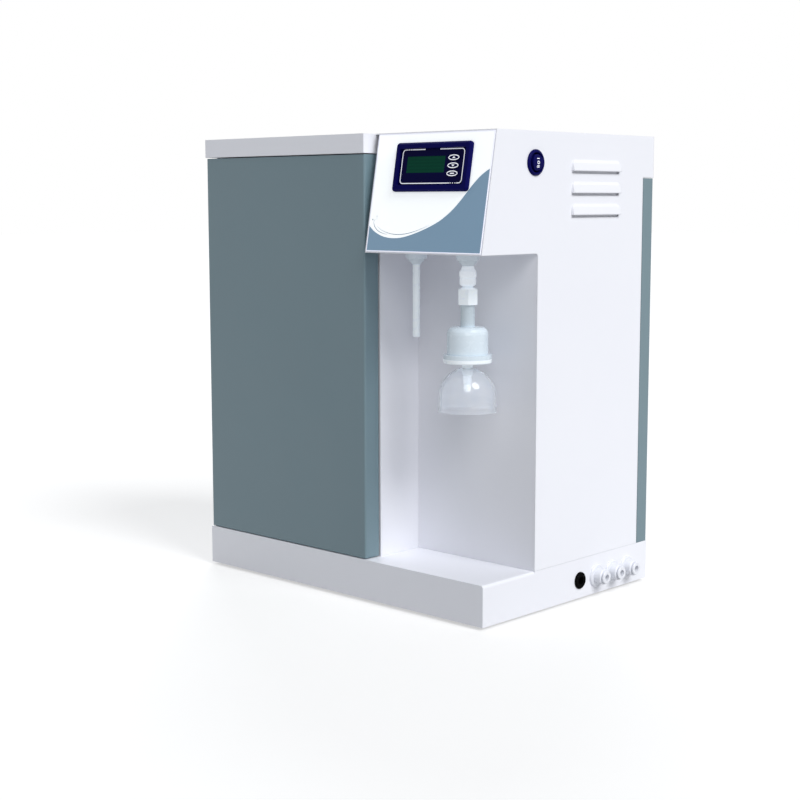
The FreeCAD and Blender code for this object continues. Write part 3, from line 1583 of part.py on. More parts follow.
def power_supply():
    """A boxed supply on the back of the rack, with a row of terminals on top."""
    corner = ("left_x + supply_start", "rack_rear_y", "deck_z + supply_rise")
    case = box("SupplyCase", corner, ("supply_width", "supply_depth", "supply_height"))
    terminals = box(
        "SupplyTerminals",
        (
            "left_x + supply_start + 2 * standoff_height",
            "rack_rear_y",
            "deck_z + supply_rise + supply_height",
        ),
        ("supply_width - 4 * standoff_height", "supply_depth / 2", "standoff_height"),
    )
    return node("power_supply", fused("PowerSupply", case, terminals))


# What the control board carries: name, place right and up from its corner, width, height, depth
BOARD_PARTS = (
    ("Transformer", 18, 20, 34, 30, 26),
    ("RelayA", 62, 22, 15, 19, 16),
    ("RelayB", 82, 22, 15, 19, 16),
    ("Processor", 60, 54, 20, 20, 3),
    ("TerminalStrip", 18, 74, 60, 10, 12),
)


def control_board():
    """The control board on four standoffs, with its transformer, relays and terminal strip."""
    x = "left_x + board_start"
    z = "deck_z + board_rise"
    y = "rack_rear_y + standoff_height"
    sheet_part = box("BoardSheet", (x, y, z), ("board_width", "board_thickness", "board_height"))
    pieces = [sheet_part]
    across_places = {"Left": f"{x} + standoff_inset", "Right": f"{x} + board_width - standoff_inset"}
    up_places = {"Low": f"{z} + standoff_inset", "High": f"{z} + board_height - standoff_inset"}
    for side, across in across_places.items():
        for end, up in up_places.items():
            start = (across, "rack_rear_y", up)
            pieces.append(rod(f"Standoff{side}{end}", start, "standoff_radius", "standoff_height", ALONG_Y))
    face = f"{y} + board_thickness"
    for name, right, up, width, height, depth in BOARD_PARTS:
        pieces.append(box("Board" + name, (f"{x} + {right}", face, f"{z} + {up}"), (width, depth, height)))
    return node("control_board", fused("ControlBoard", *pieces))


def solenoid_valve(name, start):
    """A valve block with its coil, and the plunger in the bore."""
    x = f"left_x + {start}"
    half = "valve_body_width / 2"
    block_corner = (f"{x} - {half}", f"service_y - {half}", "deck_z")
    block = box(name + "Block", block_corner, ("valve_body_width", "valve_body_width", "valve_body_height"))
    coil_start = (x, "service_y", "deck_z + valve_body_height")
    coil = rod(name + "Coil", coil_start, "valve_coil_radius", "valve_coil_height")
    seat = (x, "service_y", "deck_z + valve_seat")
    bore_length = "plunger_length + 2 * plunger_travel"
    bore = rod(name + "Bore", seat, "plunger_radius + plunger_fit", bore_length)
    label = name.lower()
    valve = node(f"{label}_valve", cut(name + "Valve", fused(name + "Body", block, coil), bore))
    plunger = rod(name + "Plunger", seat, "plunger_radius", "plunger_length")
    return valve, node(f"{label}_valve_plunger", plunger)


def pressure_switch():
    x = "left_x + pressure_switch_start"
    top_radius = "pressure_switch_radius - pressure_switch_step"
    profile = [
        ("0", "0"),
        ("pressure_switch_radius", "0"),
        ("pressure_switch_radius", "pressure_switch_height / 2"),
        (top_radius, "pressure_switch_height / 2 + pressure_switch_step / 2"),
        (top_radius, "pressure_switch_height"),
        ("0", "pressure_switch_height"),
    ]
    return node("pressure_switch", turned("PressureSwitch", (x, "tank_y", "deck_z"), profile))


def hose(name, points):
    """A hose along straight runs that are joined by arcs."""
    corners = [FreeCAD.Vector(*[number(text) for text in point]) for point in points]
    bend = number("hose_bend")
    edges = []
    start = corners[0]
    for before, corner, after in zip(corners, corners[1:], corners[2:]):
        inward = (corner - before).normalize()
        onward = (after - corner).normalize()
        turn = inward.getAngle(onward)
        cut_back = bend * math.tan(turn / 2)
        if turn < 0.05:
            continue
        leave = corner - inward * cut_back
        join = corner + onward * cut_back
        towards = (onward - inward).normalize()
        middle = corner + towards * (bend / math.cos(turn / 2) - bend)
        edges.append(Part.LineSegment(start, leave).toShape())
        edges.append(Part.Arc(leave, middle, join).toShape())
        start = join
    edges.append(Part.LineSegment(start, corners[-1]).toShape())
    path = Part.Wire(edges)
    ring = Part.makeCircle(number("hose_radius"), corners[0], (corners[1] - corners[0]).normalize())
    tube = doc.addObject("Part::Feature", name)
    tube.Shape = path.makePipeShell([Part.Wire(ring)], True, False)
    return tube


def hoses():
    """Two hoses from the canisters to the outlets, and one from each port up through the deck."""
    column_y = behind_rack("column_radius")
    vessel_y = behind_rack("vessel_radius")
    column_x = "left_x + rear_row_start + rear_row_pitch"
    vessel_x = "left_x + rear_row_start"
    high_z = "hose_low_z + hose_step"
    pieces = [
        hose("ProductHose", [
            ("filter_x", "outlet_y", "stem_z"),
            ("filter_x", "outlet_y", "hose_low_z"),
            ("filter_x", column_y, "hose_low_z"),
            (column_x, column_y, "hose_low_z"),
            (column_x, column_y, "deck_z + column_height + cartridge_nozzle_height"),
        ]),
        hose("SpoutHose", [
            ("spout_x", "outlet_y", "stem_z"),
            ("spout_x", "outlet_y", high_z),
            ("spout_x", vessel_y, high_z),
            (vessel_x, vessel_y, high_z),
            (vessel_x, vessel_y, "deck_z + vessel_height + cartridge_nozzle_height"),
        ]),
    ]
    backs = port_places()
    for name, foot_x, foot_y in hose_feet():
        y = f"front_y + {backs[name]}"
        points = [("right_x - port_thread_length", y, "service_z"), (foot_x, y, "service_z")]
        if foot_y != "tank_y":
            points.append((foot_x, foot_y, "service_z"))
        points.append((foot_x, foot_y, "deck_z"))
        pieces.append(hose(name + "Hose", points))
    return node("internal_hoses", grouped("InternalHoses", pieces))


# ---- build, check and write ----

def build():
    feet()
    base_pan()
    base_end_panel()
    right_side_panel()
    left_side_panel()
    top_cover()
    bay_liner()
    head_fascia()
    front_cover()
    rear_cover()
    housing_screws()
    door_pivot_pins()
    door_magnets()
    switch_housing()
    switch_rocker()
    panel_overlay()
    meter_bezel()
    meter_faceplate()
    lcd_window()
    meter_keys()
    meter_case()
    meter_board()
    outlet_fittings()
    outlet_spout()
    locknuts()
    filter_coupling()
    union_nut()
    union_ferrule()
    capsule_shell()
    capsule_membrane()
    capsule_base()
    filling_bell()
    cable_grommet()
    ports()
    cartridge_rack()
    cartridges()
    membrane_vessel()
    uv_reactor()
    cartridge_clips()
    booster_pump()
    power_supply()
    control_board()
    solenoid_valve("Inlet", "inlet_valve_start")
    solenoid_valve("Flush", "flush_valve_start")
    pressure_switch()
    hoses()
    doc.recompute()


def check():
    """Stop before anything is written if an object failed or a sub-part's shape is unsound."""
    failed = [thing.Name for thing in doc.Objects if {"Invalid", "Error"} & set(thing.State)]
    if failed:
        raise RuntimeError(f"these objects failed: {failed}")
    for label, thing in NODES.items():
        if thing.Shape.isNull() or not thing.Shape.isValid() or not thing.Shape.Solids:
            raise RuntimeError(f"{label} has no sound shape")


def write():
    os.makedirs("parts", exist_ok=True)
    for label, thing in NODES.items():
        thing.Shape.exportStep(f"parts/{label}.step")


build()
check()
write()
print(len(NODES), "sub-parts written")
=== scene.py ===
"""The looks of a bench-top ultrapure water system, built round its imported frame.

Laid out as an add-on: property groups hold the sizes and colours, one operator makes each group of
pieces, and a panel in the 3D view's sidebar lists them. Lengths are in metres.
"""

import math

import bmesh
import bpy
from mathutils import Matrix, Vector


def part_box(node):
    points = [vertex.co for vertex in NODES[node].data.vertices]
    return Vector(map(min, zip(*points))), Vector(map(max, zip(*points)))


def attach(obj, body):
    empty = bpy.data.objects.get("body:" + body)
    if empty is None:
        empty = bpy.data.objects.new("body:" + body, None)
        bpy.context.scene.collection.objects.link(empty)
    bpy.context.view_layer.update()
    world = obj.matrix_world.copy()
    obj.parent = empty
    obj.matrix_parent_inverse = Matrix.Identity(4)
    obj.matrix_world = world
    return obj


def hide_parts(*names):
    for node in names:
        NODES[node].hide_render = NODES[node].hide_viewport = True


bl_info = {
    "name": "Ultrapure water system",
    "version": (1, 0, 0),
    "blender": (4, 5, 0),
    "location": "View3D > Sidebar > Water system",
    "description": "Finishes, printed marks and small hardware of a bench-top water purifier",
    "category": "Object",
}

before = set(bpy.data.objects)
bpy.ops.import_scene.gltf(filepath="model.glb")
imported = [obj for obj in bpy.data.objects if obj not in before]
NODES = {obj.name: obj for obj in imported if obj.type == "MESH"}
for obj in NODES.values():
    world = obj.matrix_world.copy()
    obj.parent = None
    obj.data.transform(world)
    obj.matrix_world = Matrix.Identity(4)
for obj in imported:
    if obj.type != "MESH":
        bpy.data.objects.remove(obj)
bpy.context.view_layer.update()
MM = 0.001

# The sloped fascia: its lower edge, its tilt, and where the meter's face lies on it
FASCIA_X, FASCIA_Y, FASCIA_Z = 41.86 * MM, -140.4 * MM, 356.5 * MM
FASCIA_TILT = math.radians(10.1706)
METER_X = 70.96 * MM
FACEPLATE_OUT = 1.4 * MM
KEYS_OUT = 2.3 * MM
KEY_X, KEY_UP, KEY_PITCH = METER_X + 75.3 * MM, 84.6 * MM, 7.6 * MM


def colour(code):
    """A linear colour from its sRGB hex value."""
    parts = [int(code[i : i + 2], 16) / 255 for i in (1, 3, 5)]
    linear = [c / 12.92 if c <= 0.04045 else ((c + 0.055) / 1.055) ** 2.4 for c in parts]
    return (*linear, 1.0)


def on_fascia(across, up, out):
    """A point by its place across the machine, up the slope and proud of it."""
    sine, cosine = math.sin(FASCIA_TILT), math.cos(FASCIA_TILT)
    y = FASCIA_Y + up * sine - out * cosine
    return Vector((across, y, FASCIA_Z + up * cosine + out * sine))


def add(tree, kind, inputs=None, **settings):
    """Adds a node, sets its properties, and fills its inputs with values, hex colours or links."""
    made = tree.nodes.new(kind)
    for key, value in settings.items():
        setattr(made, key, value)
    for key, value in (inputs or {}).items():
        if isinstance(value, bpy.types.NodeSocket):
            tree.links.new(value, made.inputs[key])
        else:
            made.inputs[key].default_value = colour(value) if isinstance(value, str) else value
    return made


def give(tree, kind, inputs=None, **settings):
    """Adds a node, and gives its first output."""
    return add(tree, kind, inputs, **settings).outputs[0]


def link(node, value, *names):
    """Links a value to the inputs of a node that have these names."""
    for name in names:
        node.id_data.links.new(value, node.inputs[name])


def maths(tree, kind, first, second=0.0):
    """The result of one sum on two numbers, each a value or a link."""
    return give(tree, "ShaderNodeMath", {0: first, 1: second}, operation=kind)


def ranged(tree, value, start, end, low=0.0, high=1.0):
    """A value taken from one range to another, and kept inside it."""
    return give(tree, "ShaderNodeMapRange", {0: value, 1: start, 2: end, 3: low, 4: high})


def cloud(tree, place, size, detail):
    """Soft noise whose spots have a size in metres."""
    inputs = {"Vector": place, "Scale": 1 / size, "Detail": detail}
    return give(tree, "ShaderNodeTexNoise", inputs)


def length(label, meaning, size):
    """A length to change in the panel: its label, what it means and its default in metres."""
    return bpy.props.FloatProperty(
        name=label, description=meaning, default=size, unit="LENGTH", subtype="DISTANCE"
    )


def finish_piece(piece, body, slot, *nodes):
    """A finished piece rides on its body, and the nodes it stands in for are hidden; the slot is
    not used.
    """
    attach(piece, body)
    if nodes:
        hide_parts(*nodes)
    return piece


def mesh_piece(name, mesh_maker, material):
    """An object at the origin whose mesh is filled by a function of a bmesh."""
    shape = bmesh.new()
    mesh_maker(shape)
    mesh = bpy.data.meshes.new(name)
    shape.to_mesh(mesh)
    shape.free()
    mesh.materials.append(material)
    piece = bpy.data.objects.new(name, mesh)
    bpy.context.scene.collection.objects.link(piece)
    return piece


# ---------------------------------------------------------------- finishes
FINISHES = {}


def begin(name, rough, metallic=0.0, **sockets):
    """A material with its Principled shader, whose fixed numbers stand on its own sockets."""
    made = bpy.data.materials.new(name)
    made.use_nodes = True
    tree = made.node_tree
    shader = tree.nodes["Principled BSDF"]
    shader.inputs["Roughness"].default_value = rough
    shader.inputs["Metallic"].default_value = metallic
    for key, value in sockets.items():
        shader.inputs[key.replace("_", " ")].default_value = value
    place = add(tree, "ShaderNodeTexCoord").outputs["Object"]
    FINISHES[name] = made
    return tree, shader, place


def blend(tree, share, low, high):
    """A colour between two, by a share."""
    mix = add(tree, "ShaderNodeMix", {0: share, 6: low, 7: high}, data_type="RGBA")
    return mix.outputs[2]


def mottle(tree, place, low, high, size, detail=3.0):
    """A colour that drifts between two close shades over spots of a size in metres."""
    return blend(tree, cloud(tree, place, size, detail), low, high)


def emboss(tree, shader, height, depth, **more):
    """Relief of a depth in metres on the shader's normal, from a height between 0 and 1."""
    inputs = {"Height": height, "Distance": depth, "Strength": 1.0, **more}
    link(shader, give(tree, "ShaderNodeBump", inputs), "Normal")


def grain(tree, shader, place, size, depth, detail=2.0, base=None):
    """Fine relief of a size and a depth in metres."""
    under = {"Normal": base} if base else {}
    emboss(tree, shader, cloud(tree, place, size, detail), depth, **under)


def gloss(tree, shader, place, low, high, size):
    """Roughness that wanders between two values, as handling and wiping leave it."""
    spread = ranged(tree, cloud(tree, place, size, 4.0), 0.3, 0.7, low, high)
    link(shader, spread, "Roughness")


def plain(name, low, high, rough, grit, depth, spot=0.03, spread=0.06, **sockets):
    """A finish of one colour with drift, relief and wandering gloss, as moulded plastics have."""
    tree, shader, place = begin(name, rough, **sockets)
    link(shader, mottle(tree, place, low, high, spot), "Base Color")
    grain(tree, shader, place, grit, depth)
    gloss(tree, shader, place, rough - spread, rough + spread, spot * 0.6)
    return tree, shader, place


def powder_coat(name, low, high, fold=1.2 * MM):
    """Polyester powder coat on folded steel.

    It looks satin and even, with the soft orange peel that the melted powder leaves, in swells of
    about 1.6 mm, and folds that catch a thin line of light on their radius. Sheets that lie flush
    in one face have no fold there.
    """
    tree, shader, place = begin(name, 0.38, IOR=1.5, Coat_Weight=0.15, Coat_Roughness=0.25)
    link(shader, mottle(tree, place, low, high, 0.12), "Base Color")
    edge = give(tree, "ShaderNodeBevel", {"Radius": fold}, samples=6) if fold else None
    grain(tree, shader, place, 1.6 * MM, 0.006 * MM, base=edge)
    gloss(tree, shader, place, 0.33, 0.42, 0.05)


# The film's wave: the part it covers, how soft its edge is as a share of that part's height, its
# margin, and its points across and up the slope in millimetres
WAVE_SPAN = 151 * MM
WAVE_TOP = 118 * MM
WAVE_SOFT = 0.0012
FILM_MARGIN = 0.9 * MM
WAVE = (
    (0, 29.5), (7.3, 22.9), (14.2, 19.2), (21.4, 16.7), (28.5, 15.4), (36.4, 14.9), (45.2, 15.4),
    (53.8, 17.0), (62.2, 19.3), (70.5, 22.0), (80.6, 25.8), (87.5, 28.8), (94.5, 32.4),
    (101.3, 36.9), (108.1, 42.2), (116.7, 50.8), (125, 60.5), (133.3, 69.8), (141.9, 77.2),
    (151, 82.4),
)


def printed_film():
    """Reverse-printed polycarbonate film: a smooth white field over a blue-grey one.

    The two meet in one long wave, drawn as a curve of its height up the slope over its place
    across, and a narrow pale lavender margin runs round the edge. The film's face is velvet, so
    it shows a broad soft sheen and no sharp reflection. It also glows in its own colours: painted
    light that keeps it brighter than the painted sheet around it under the same lamps.
    """
    # Emission 0.42 is a painted glow: the film is no lamp
    tree, shader, place = begin("velvet_printed_film", 0.4, IOR=1.5, Emission_Strength=0.42)
    parts = add(tree, "ShaderNodeSeparateXYZ", {0: place})
    # Up the slope and across it, each as a share of the part of the film that the wave covers
    across = ranged(tree, parts.outputs[0], FASCIA_X, FASCIA_X + WAVE_SPAN)
    rise = WAVE_TOP * math.cos(FASCIA_TILT)
    up = ranged(tree, parts.outputs[2], FASCIA_Z, FASCIA_Z + rise)
    wave = add(tree, "ShaderNodeFloatCurve", {"Value": across})
    points = wave.mapping.curves[0].points
    points[0].location = (0.0, WAVE[0][1] / (WAVE_TOP / MM))
    points[1].location = (1.0, WAVE[-1][1] / (WAVE_TOP / MM))
    for step_across, height in WAVE[1:-1]:
        points.new(step_across / (WAVE_SPAN / MM), height / (WAVE_TOP / MM))
    wave.mapping.update()
    side = ranged(tree, maths(tree, "SUBTRACT", up, wave.outputs[0]), -WAVE_SOFT, WAVE_SOFT)
    white = mottle(tree, place, "#fbfdfe", "#f6fafc", 0.05)
    blue = mottle(tree, place, "#6c879d", "#69849a", 0.05)
    fields = blend(tree, side, blue, white)
    # The margin is drawn where the film is nearer its edge than its width
    low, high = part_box("panel_overlay")
    edges = []
    for axis, lowest, highest in ((0, low[0], high[0]), (2, low[2], high[2])):
        middle, half = (lowest + highest) / 2, (highest - lowest) / 2
        away = maths(tree, "ABSOLUTE", maths(tree, "SUBTRACT", parts.outputs[axis], middle))
        edges.append(maths(tree, "GREATER_THAN", away, half - FILM_MARGIN))
    whole = blend(tree, maths(tree, "MAXIMUM", *edges), fields, "#e9eaf7")
    link(shader, whole, "Base Color", "Emission Color")
    grain(tree, shader, place, 0.7 * MM, 0.003 * MM)


def galvanised_sheet():
    """Hot-dip galvanised sheet: dull silver-grey, in crystal spangles about 7 mm across."""
    tree, shader, place = begin("galvanised_sheet_steel", 0.42, 1.0)
    cells = add(tree, "ShaderNodeTexVoronoi", {"Vector": place, "Scale": 1 / (7 * MM)})
    tone = give(tree, "ShaderNodeSeparateColor", {0: cells.outputs["Color"]})
    link(shader, blend(tree, tone, "#9da2a6", "#c3c7ca"), "Base Color")
    link(shader, ranged(tree, tone, 0.0, 1.0, 0.34, 0.5), "Roughness")
    grain(tree, shader, place, 2 * MM, 0.004 * MM)


def brushed_steel():
    """Stainless tube and sheet, brushed along its length in bright streaks of about 0.8 mm."""
    tree, shader, place = begin("brushed_stainless_steel", 0.28, 1.0, Anisotropic=0.5)
    stretch = give(tree, "ShaderNodeMapping", {"Vector": place, "Scale": (1.0, 1.0, 0.03)})
    noise = cloud(tree, stretch, 0.8 * MM, 3.0)
    link(shader, blend(tree, noise, "#aeb1b5", "#d2d4d7"), "Base Color")
    emboss(tree, shader, noise, 0.004 * MM)


def zinc_plate():
    """Bright zinc plate on turned and stamped steel, with a faint blue passivation cloud."""
    tree, shader, place = begin("zinc_plated_steel", 0.3, 1.0)
    link(shader, mottle(tree, place, "#a9adb6", "#c9ccd2", 4 * MM), "Base Color")
    grain(tree, shader, place, 0.5 * MM, 0.004 * MM)
    gloss(tree, shader, place, 0.24, 0.4, 6 * MM)


def circuit_board():
    """Glass-epoxy board under green solder mask, with lighter copper tracks 1.3 mm apart."""
    tree, shader, place = begin(
        "green_solder_mask", 0.35, IOR=1.5, Coat_Weight=0.4, Coat_Roughness=0.2
    )
    parts = add(tree, "ShaderNodeSeparateXYZ", {0: place})
    flat = give(tree, "ShaderNodeCombineXYZ", {0: parts.outputs[0], 1: parts.outputs[2]})
    tracks = give(
        tree, "ShaderNodeTexBrick",
        {"Vector": flat, "Scale": 1.0, "Mortar Size": 0.3 * MM, "Brick Width": 11 * MM,
         "Row Height": 1.3 * MM, "Color1": "#0b4a2a", "Color2": "#0d5230", "Mortar": "#2b7a4c"},
        offset_frequency=3, squash_frequency=2, squash=1.7,
    )
    link(shader, tracks, "Base Color")
    grain(tree, shader, place, 1.3 * MM, 0.01 * MM)


def clear_plastic(name, tint, rough, ior, depth=0.02, share=1.0, **sockets):
    """A clear moulding: glassy and barely tinted, with the slow ripple of its cooling skin.

    The share is how much of the light passes through; a hazy skin scatters the rest.
    """
    tree, shader, place = begin(name, rough, IOR=ior, Transmission_Weight=share, **sockets)
    link(shader, mottle(tree, place, tint, "#ffffff", 9 * MM), "Base Color")
    grain(tree, shader, place, 9 * MM, depth * MM)
    return tree, shader, place


def bands(tree, place, pitch, bend, axis):
    """Bands at a pitch in metres along an axis; at scale 1 the wave node's are 2 pi / 20 long."""
    inputs = {"Vector": place, "Scale": math.tau / 20 / pitch, "Distortion": bend}
    return add(tree, "ShaderNodeTexWave", inputs, bands_direction=axis).outputs[1]


def display_glass():
    """The window over a liquid-crystal display that is off: deep green under a glossy face.

    Its faint rows are drawn 3.1 mm apart, coarser than a real display's, so that they show.
    """
    tree, shader, place = begin("dark_green_display", 0.3, IOR=1.5, Specular_IOR_Level=0.03)
    wave = bands(tree, place, math.pi * MM, 0.0, "Z")
    link(shader, blend(tree, wave, "#083f30", "#094433"), "Base Color")
    grain(tree, shader, place, 6 * MM, 0.004 * MM)


def pleated_membrane():
    """White polyethersulfone membrane, matt as paper, in pleats drawn coarse at 9.4 mm apart."""
    tree, shader, place = begin("pleated_membrane", 0.85)
    wave = bands(tree, place, 3 * math.pi * MM, 0.2, "X")
    # The colour follows the pleats' relief, darker in their folds: painted shade
    link(shader, blend(tree, wave, "#d8d9d6", "#f4f5f3"), "Base Color")
    emboss(tree, shader, wave, 0.3 * MM)


def glowing(name, low, high, rough, grit, depth, spot, glow, corner=None, neck=None, **sockets):
    """A translucent plastic that glows with a share of its own colour, painted light for the light
    it passes on inside, and darkens in its corners, painted shade from an occlusion node.

    A neck is a height and a darker colour for the thin wall above it: painted shade for what shows
    through.
    """
    tree, shader, place = plain(
        name, low, high, rough, grit, depth, spot, Emission_Strength=glow, **sockets
    )
    shade = shader.inputs["Base Color"].links[0].from_socket
    # Painted shade: the colour is darker above the neck's height
    if neck:
        height = add(tree, "ShaderNodeSeparateXYZ", {0: place}).outputs[2]
        above = ranged(tree, height, neck[0] - 1 * MM, neck[0] + 3 * MM)
        shade = blend(tree, above, shade, neck[1])
    # Painted shade: an occlusion node darkens the colour in corners
    if corner:
        painted_corner_shade = add(
            tree, "ShaderNodeAmbientOcclusion", {"Distance": 4 * MM}, samples=8, only_local=True
        )
        open_share = ranged(tree, painted_corner_shade.outputs["AO"], 0.1, 0.7)
        shade = blend(tree, open_share, corner, shade)
    link(shader, shade, "Base Color", "Emission Color")


def make_finishes(look):
    """Every finish of the machine, each from what the real one is made of."""
    white, white_low, teal, teal_low = look.white, look.white_shade, look.teal, look.teal_shade
    powder_coat("white_powder_coat", white, white_low)
    powder_coat("flush_white_powder_coat", white, white_low, fold=0)
    powder_coat("grey_teal_powder_coat", teal, teal_low)
    # The bay's liner wears the cabinet's white a shade greyer: painted shade for the recessed bay
    powder_coat("pale_grey_powder_coat", "#eaebf1", "#e6e7ee")
    printed_film()
    # Spark-eroded ABS in navy: fine matt grit under a slight polish
    plain(
        "navy_moulded_abs", "#08084a", "#0b0b54", 0.36, 0.5 * MM, 0.006 * MM, 0.01,
        IOR=1.5, Specular_IOR_Level=0.03,
    )
    # Polished ABS for the meter's face: nearly black, with a violet depth
    plain(
        "polished_navy_faceplate", "#030333", "#05053c", 0.3, 4 * MM, 0.004 * MM, 0.02, 0.04,
        IOR=1.5, Specular_IOR_Level=0.03,
    )
    display_glass()
    # Opaque pad-printing ink, a little raised and matt; the white one glows a little, painted light
    # that keeps it bright
    glowing("white_pad_printing_ink", "#f4f6fb", "#eceff6", 0.5, 0.4 * MM, 0.004 * MM, 3 * MM, 0.35)
    plain("blue_grey_printing_ink", "#6f8aa0", "#7b95a9", 0.5, 0.4 * MM, 0.004 * MM, 3 * MM)
    # Polypropylene is milky and waxy, and passes light on inside; its glow is painted light
    # standing for that, and the occlusion tone in its corners is painted shade. It is natural in
    # the spout, the nut and the capsule's base. The fittings wear a darker copy with less glow,
    # painted shade for the shadow under the bay's ceiling, and the coupling a whiter copy with a
    # stronger painted glow
    for name, low, high, glow, corner in (
        ("natural_polypropylene", "#e2eaf1", "#ecf2f6", 0.16, "#b4c4d1"),
        ("thick_natural_polypropylene", "#cfd9e2", "#dae3ea", 0.07, "#a5b5c2"),
        ("whitened_polypropylene", "#eaf0f7", "#f1f6fb", 0.26, "#b4c4d1"),
    ):
        glowing(name, low, high, 0.3, 1.2 * MM, 0.006 * MM, 8 * MM, glow, corner, IOR=1.49)
    # Unpigmented polypropylene capsule: thin-walled, frosted and slightly blue. Its glow is painted
    # light, its corners carry painted shade, and its neck is painted darker, painted shade for the
    # bay seen through it
    neck_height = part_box("capsule_shell")[0][2] + 31.2 * MM
    glowing(
        "frosted_polypropylene_capsule", "#c8d5df", "#d5e0e8", 0.24, 6 * MM, 0.004 * MM, 10 * MM,
        0.12, "#a9bac8", (neck_height, "#b5c1c9"), IOR=1.49, Coat_Weight=0.3, Coat_Roughness=0.1,
    )
    # Injected polycarbonate bell: hazy from its mould, with a faint painted glow that lifts its
    # walls lighter
    clear_plastic(
        "hazy_polycarbonate", "#eef3fa", 0.12, 1.4, 0.02, 0.9, Specular_IOR_Level=0.25,
        Emission_Color=colour("#dfe6f0"), Emission_Strength=0.03,
    )
    clear_plastic("clear_fused_quartz", "#f2f4f8", 0.02, 1.46, 0.01)
    # White acetal fittings: dense, slippery and clean-edged
    plain("white_acetal", "#eceef4", "#e4e6ee", 0.34, 1 * MM, 0.005 * MM, 6 * MM, IOR=1.48)
    # Black nitrile rubber: dead black and matt
    plain(
        "black_nitrile_rubber", "#010101", "#030303", 0.7, 0.7 * MM, 0.02 * MM, 5 * MM, 0.1,
        Specular_IOR_Level=0.03,
    )
    # Glass-filled nylon in black: finely matt, drifting towards grey
    plain("black_glass_filled_nylon", "#141518", "#222428", 0.5, 0.6 * MM, 0.02 * MM, 4 * MM, 0.1)
    # White moulded polypropylene housings: satin, with shallow ripples
    plain(
        "white_moulded_polypropylene", "#e4e8ec", "#eef1f4", 0.36, 3 * MM, 0.03 * MM, 0.02, IOR=1.49
    )
    # Sintered ferrite: charcoal, granular, nearly without gloss
    plain("sintered_ferrite", "#1b1b1d", "#2c2c2f", 0.6, 0.8 * MM, 0.03 * MM, 3 * MM, 0.1)
    # Polyethylene tube: milky, waxy, slightly blue, with extrusion lines too fine to draw
    plain(
        "natural_polyethylene_hose", "#d9e1ea", "#e9eff4", 0.33, 2 * MM, 0.008 * MM, 8 * MM,
        IOR=1.5, Subsurface_Weight=0.3, Subsurface_Scale=2 * MM,
    )
    galvanised_sheet()
    brushed_steel()
    zinc_plate()
    circuit_board()
    pleated_membrane()


# Which finish each CAD node wears
WEARS = {
    "white_powder_coat": (
        "right_side_panel", "left_side_panel", "top_cover", "head_fascia",
    ),
    "flush_white_powder_coat": ("base_pan", "base_end_panel"),
    "pale_grey_powder_coat": ("bay_liner",),
    "grey_teal_powder_coat": ("front_cover", "rear_cover"),
    "velvet_printed_film": ("panel_overlay",),
    "navy_moulded_abs": ("meter_bezel", "switch_housing", "switch_rocker"),
    "polished_navy_faceplate": ("meter_faceplate", "key_up", "key_down", "key_enter"),
    "dark_green_display": ("lcd_window",),
    "natural_polypropylene": ("outlet_spout", "union_nut", "union_ferrule", "capsule_base"),
    "thick_natural_polypropylene": ("spout_fitting", "filter_fitting"),
    "whitened_polypropylene": ("filter_coupling",),
    "frosted_polypropylene_capsule": ("capsule_shell",),
    "hazy_polycarbonate": ("filling_bell",),
    "white_acetal": (
        "port_bodies", "feed_port_collet", "waste_port_collet", "tank_port_collet", "locknuts",
    ),
    "black_nitrile_rubber": ("rubber_feet", "cable_grommet"),
    "black_glass_filled_nylon": (
        "meter_case", "pump_head", "inlet_valve", "flush_valve", "pressure_switch",
    ),
    "white_moulded_polypropylene": (
        "sediment_cartridge", "carbon_cartridge", "deionising_cartridge", "polishing_column",
        "membrane_vessel",
    ),
    "sintered_ferrite": ("door_magnets",),
    "natural_polyethylene_hose": ("internal_hoses",),
    "galvanised_sheet_steel": ("cartridge_rack", "power_supply"),
    "brushed_stainless_steel": ("uv_reactor", "pump_shaft"),
    "zinc_plated_steel": (
        "housing_screws", "door_pivot_pins", "pump_motor", "cartridge_clips", "inlet_valve_plunger",
        "flush_valve_plunger",
    ),
    "green_solder_mask": ("control_board", "meter_board"),
    "clear_fused_quartz": ("uv_lamp",),
    "pleated_membrane": ("capsule_membrane", "membrane_element"),
}


# ---------------------------------------------------------------- sizes and colours to change
class MachineLook(bpy.types.PropertyGroup):
    """Colours of the painted cabinet."""

    white: bpy.props.StringProperty(
        name="White paint", description="sRGB hex of the cabinet", default="#f3f4fa"
    )
    white_shade: bpy.props.StringProperty(
        name="White paint, deeper", description="sRGB hex the cabinet drifts to", default="#eff0f7"
    )
    teal: bpy.props.StringProperty(
        name="Teal paint", description="sRGB hex of the covers", default="#6e858e"
    )
    teal_shade: bpy.props.StringProperty(
        name="Teal paint, deeper", description="sRGB hex the covers drift to", default="#6a818a"
    )


class StageLook(bpy.types.PropertyGroup):
    """Strengths of the studio light, as shares of a surface's own colour."""

    key: bpy.props.FloatProperty(
        name="Right lamp", description="Level the right lamp gives", default=0.655, min=0
    )
    fill: bpy.props.FloatProperty(
        name="Front lamp", description="Level the lamp beside the camera gives", default=0.18, min=0
    )
    back: bpy.props.FloatProperty(
        name="Rear lamp", description="Level the lamp behind the machine gives", default=0.45, min=0
    )
    ambient: bpy.props.FloatProperty(
        name="Ambient", description="Level the room gives", default=0.255, min=0
    )
    floor_size: bpy.props.FloatProperty(
        name="Floor", description="Side of the floor", default=30.0, min=1.0,
        unit="LENGTH", subtype="DISTANCE",
    )


def by_sight(tree, unseen, seen):
    """One shader for most rays, and one for those of the camera, in gloss and through glass."""
    path = add(tree, "ShaderNodeLightPath")
    either = maths(tree, "MAXIMUM", path.outputs["Is Camera Ray"], path.outputs["Is Glossy Ray"])
    direct = maths(tree, "MAXIMUM", either, path.outputs["Is Transmission Ray"])
    return give(tree, "ShaderNodeMixShader", {0: direct, 1: unseen, 2: seen})


# Enough for the paper to reach white in full light, and to keep the machine's shadow
FLOOR_GLOW = 0.5


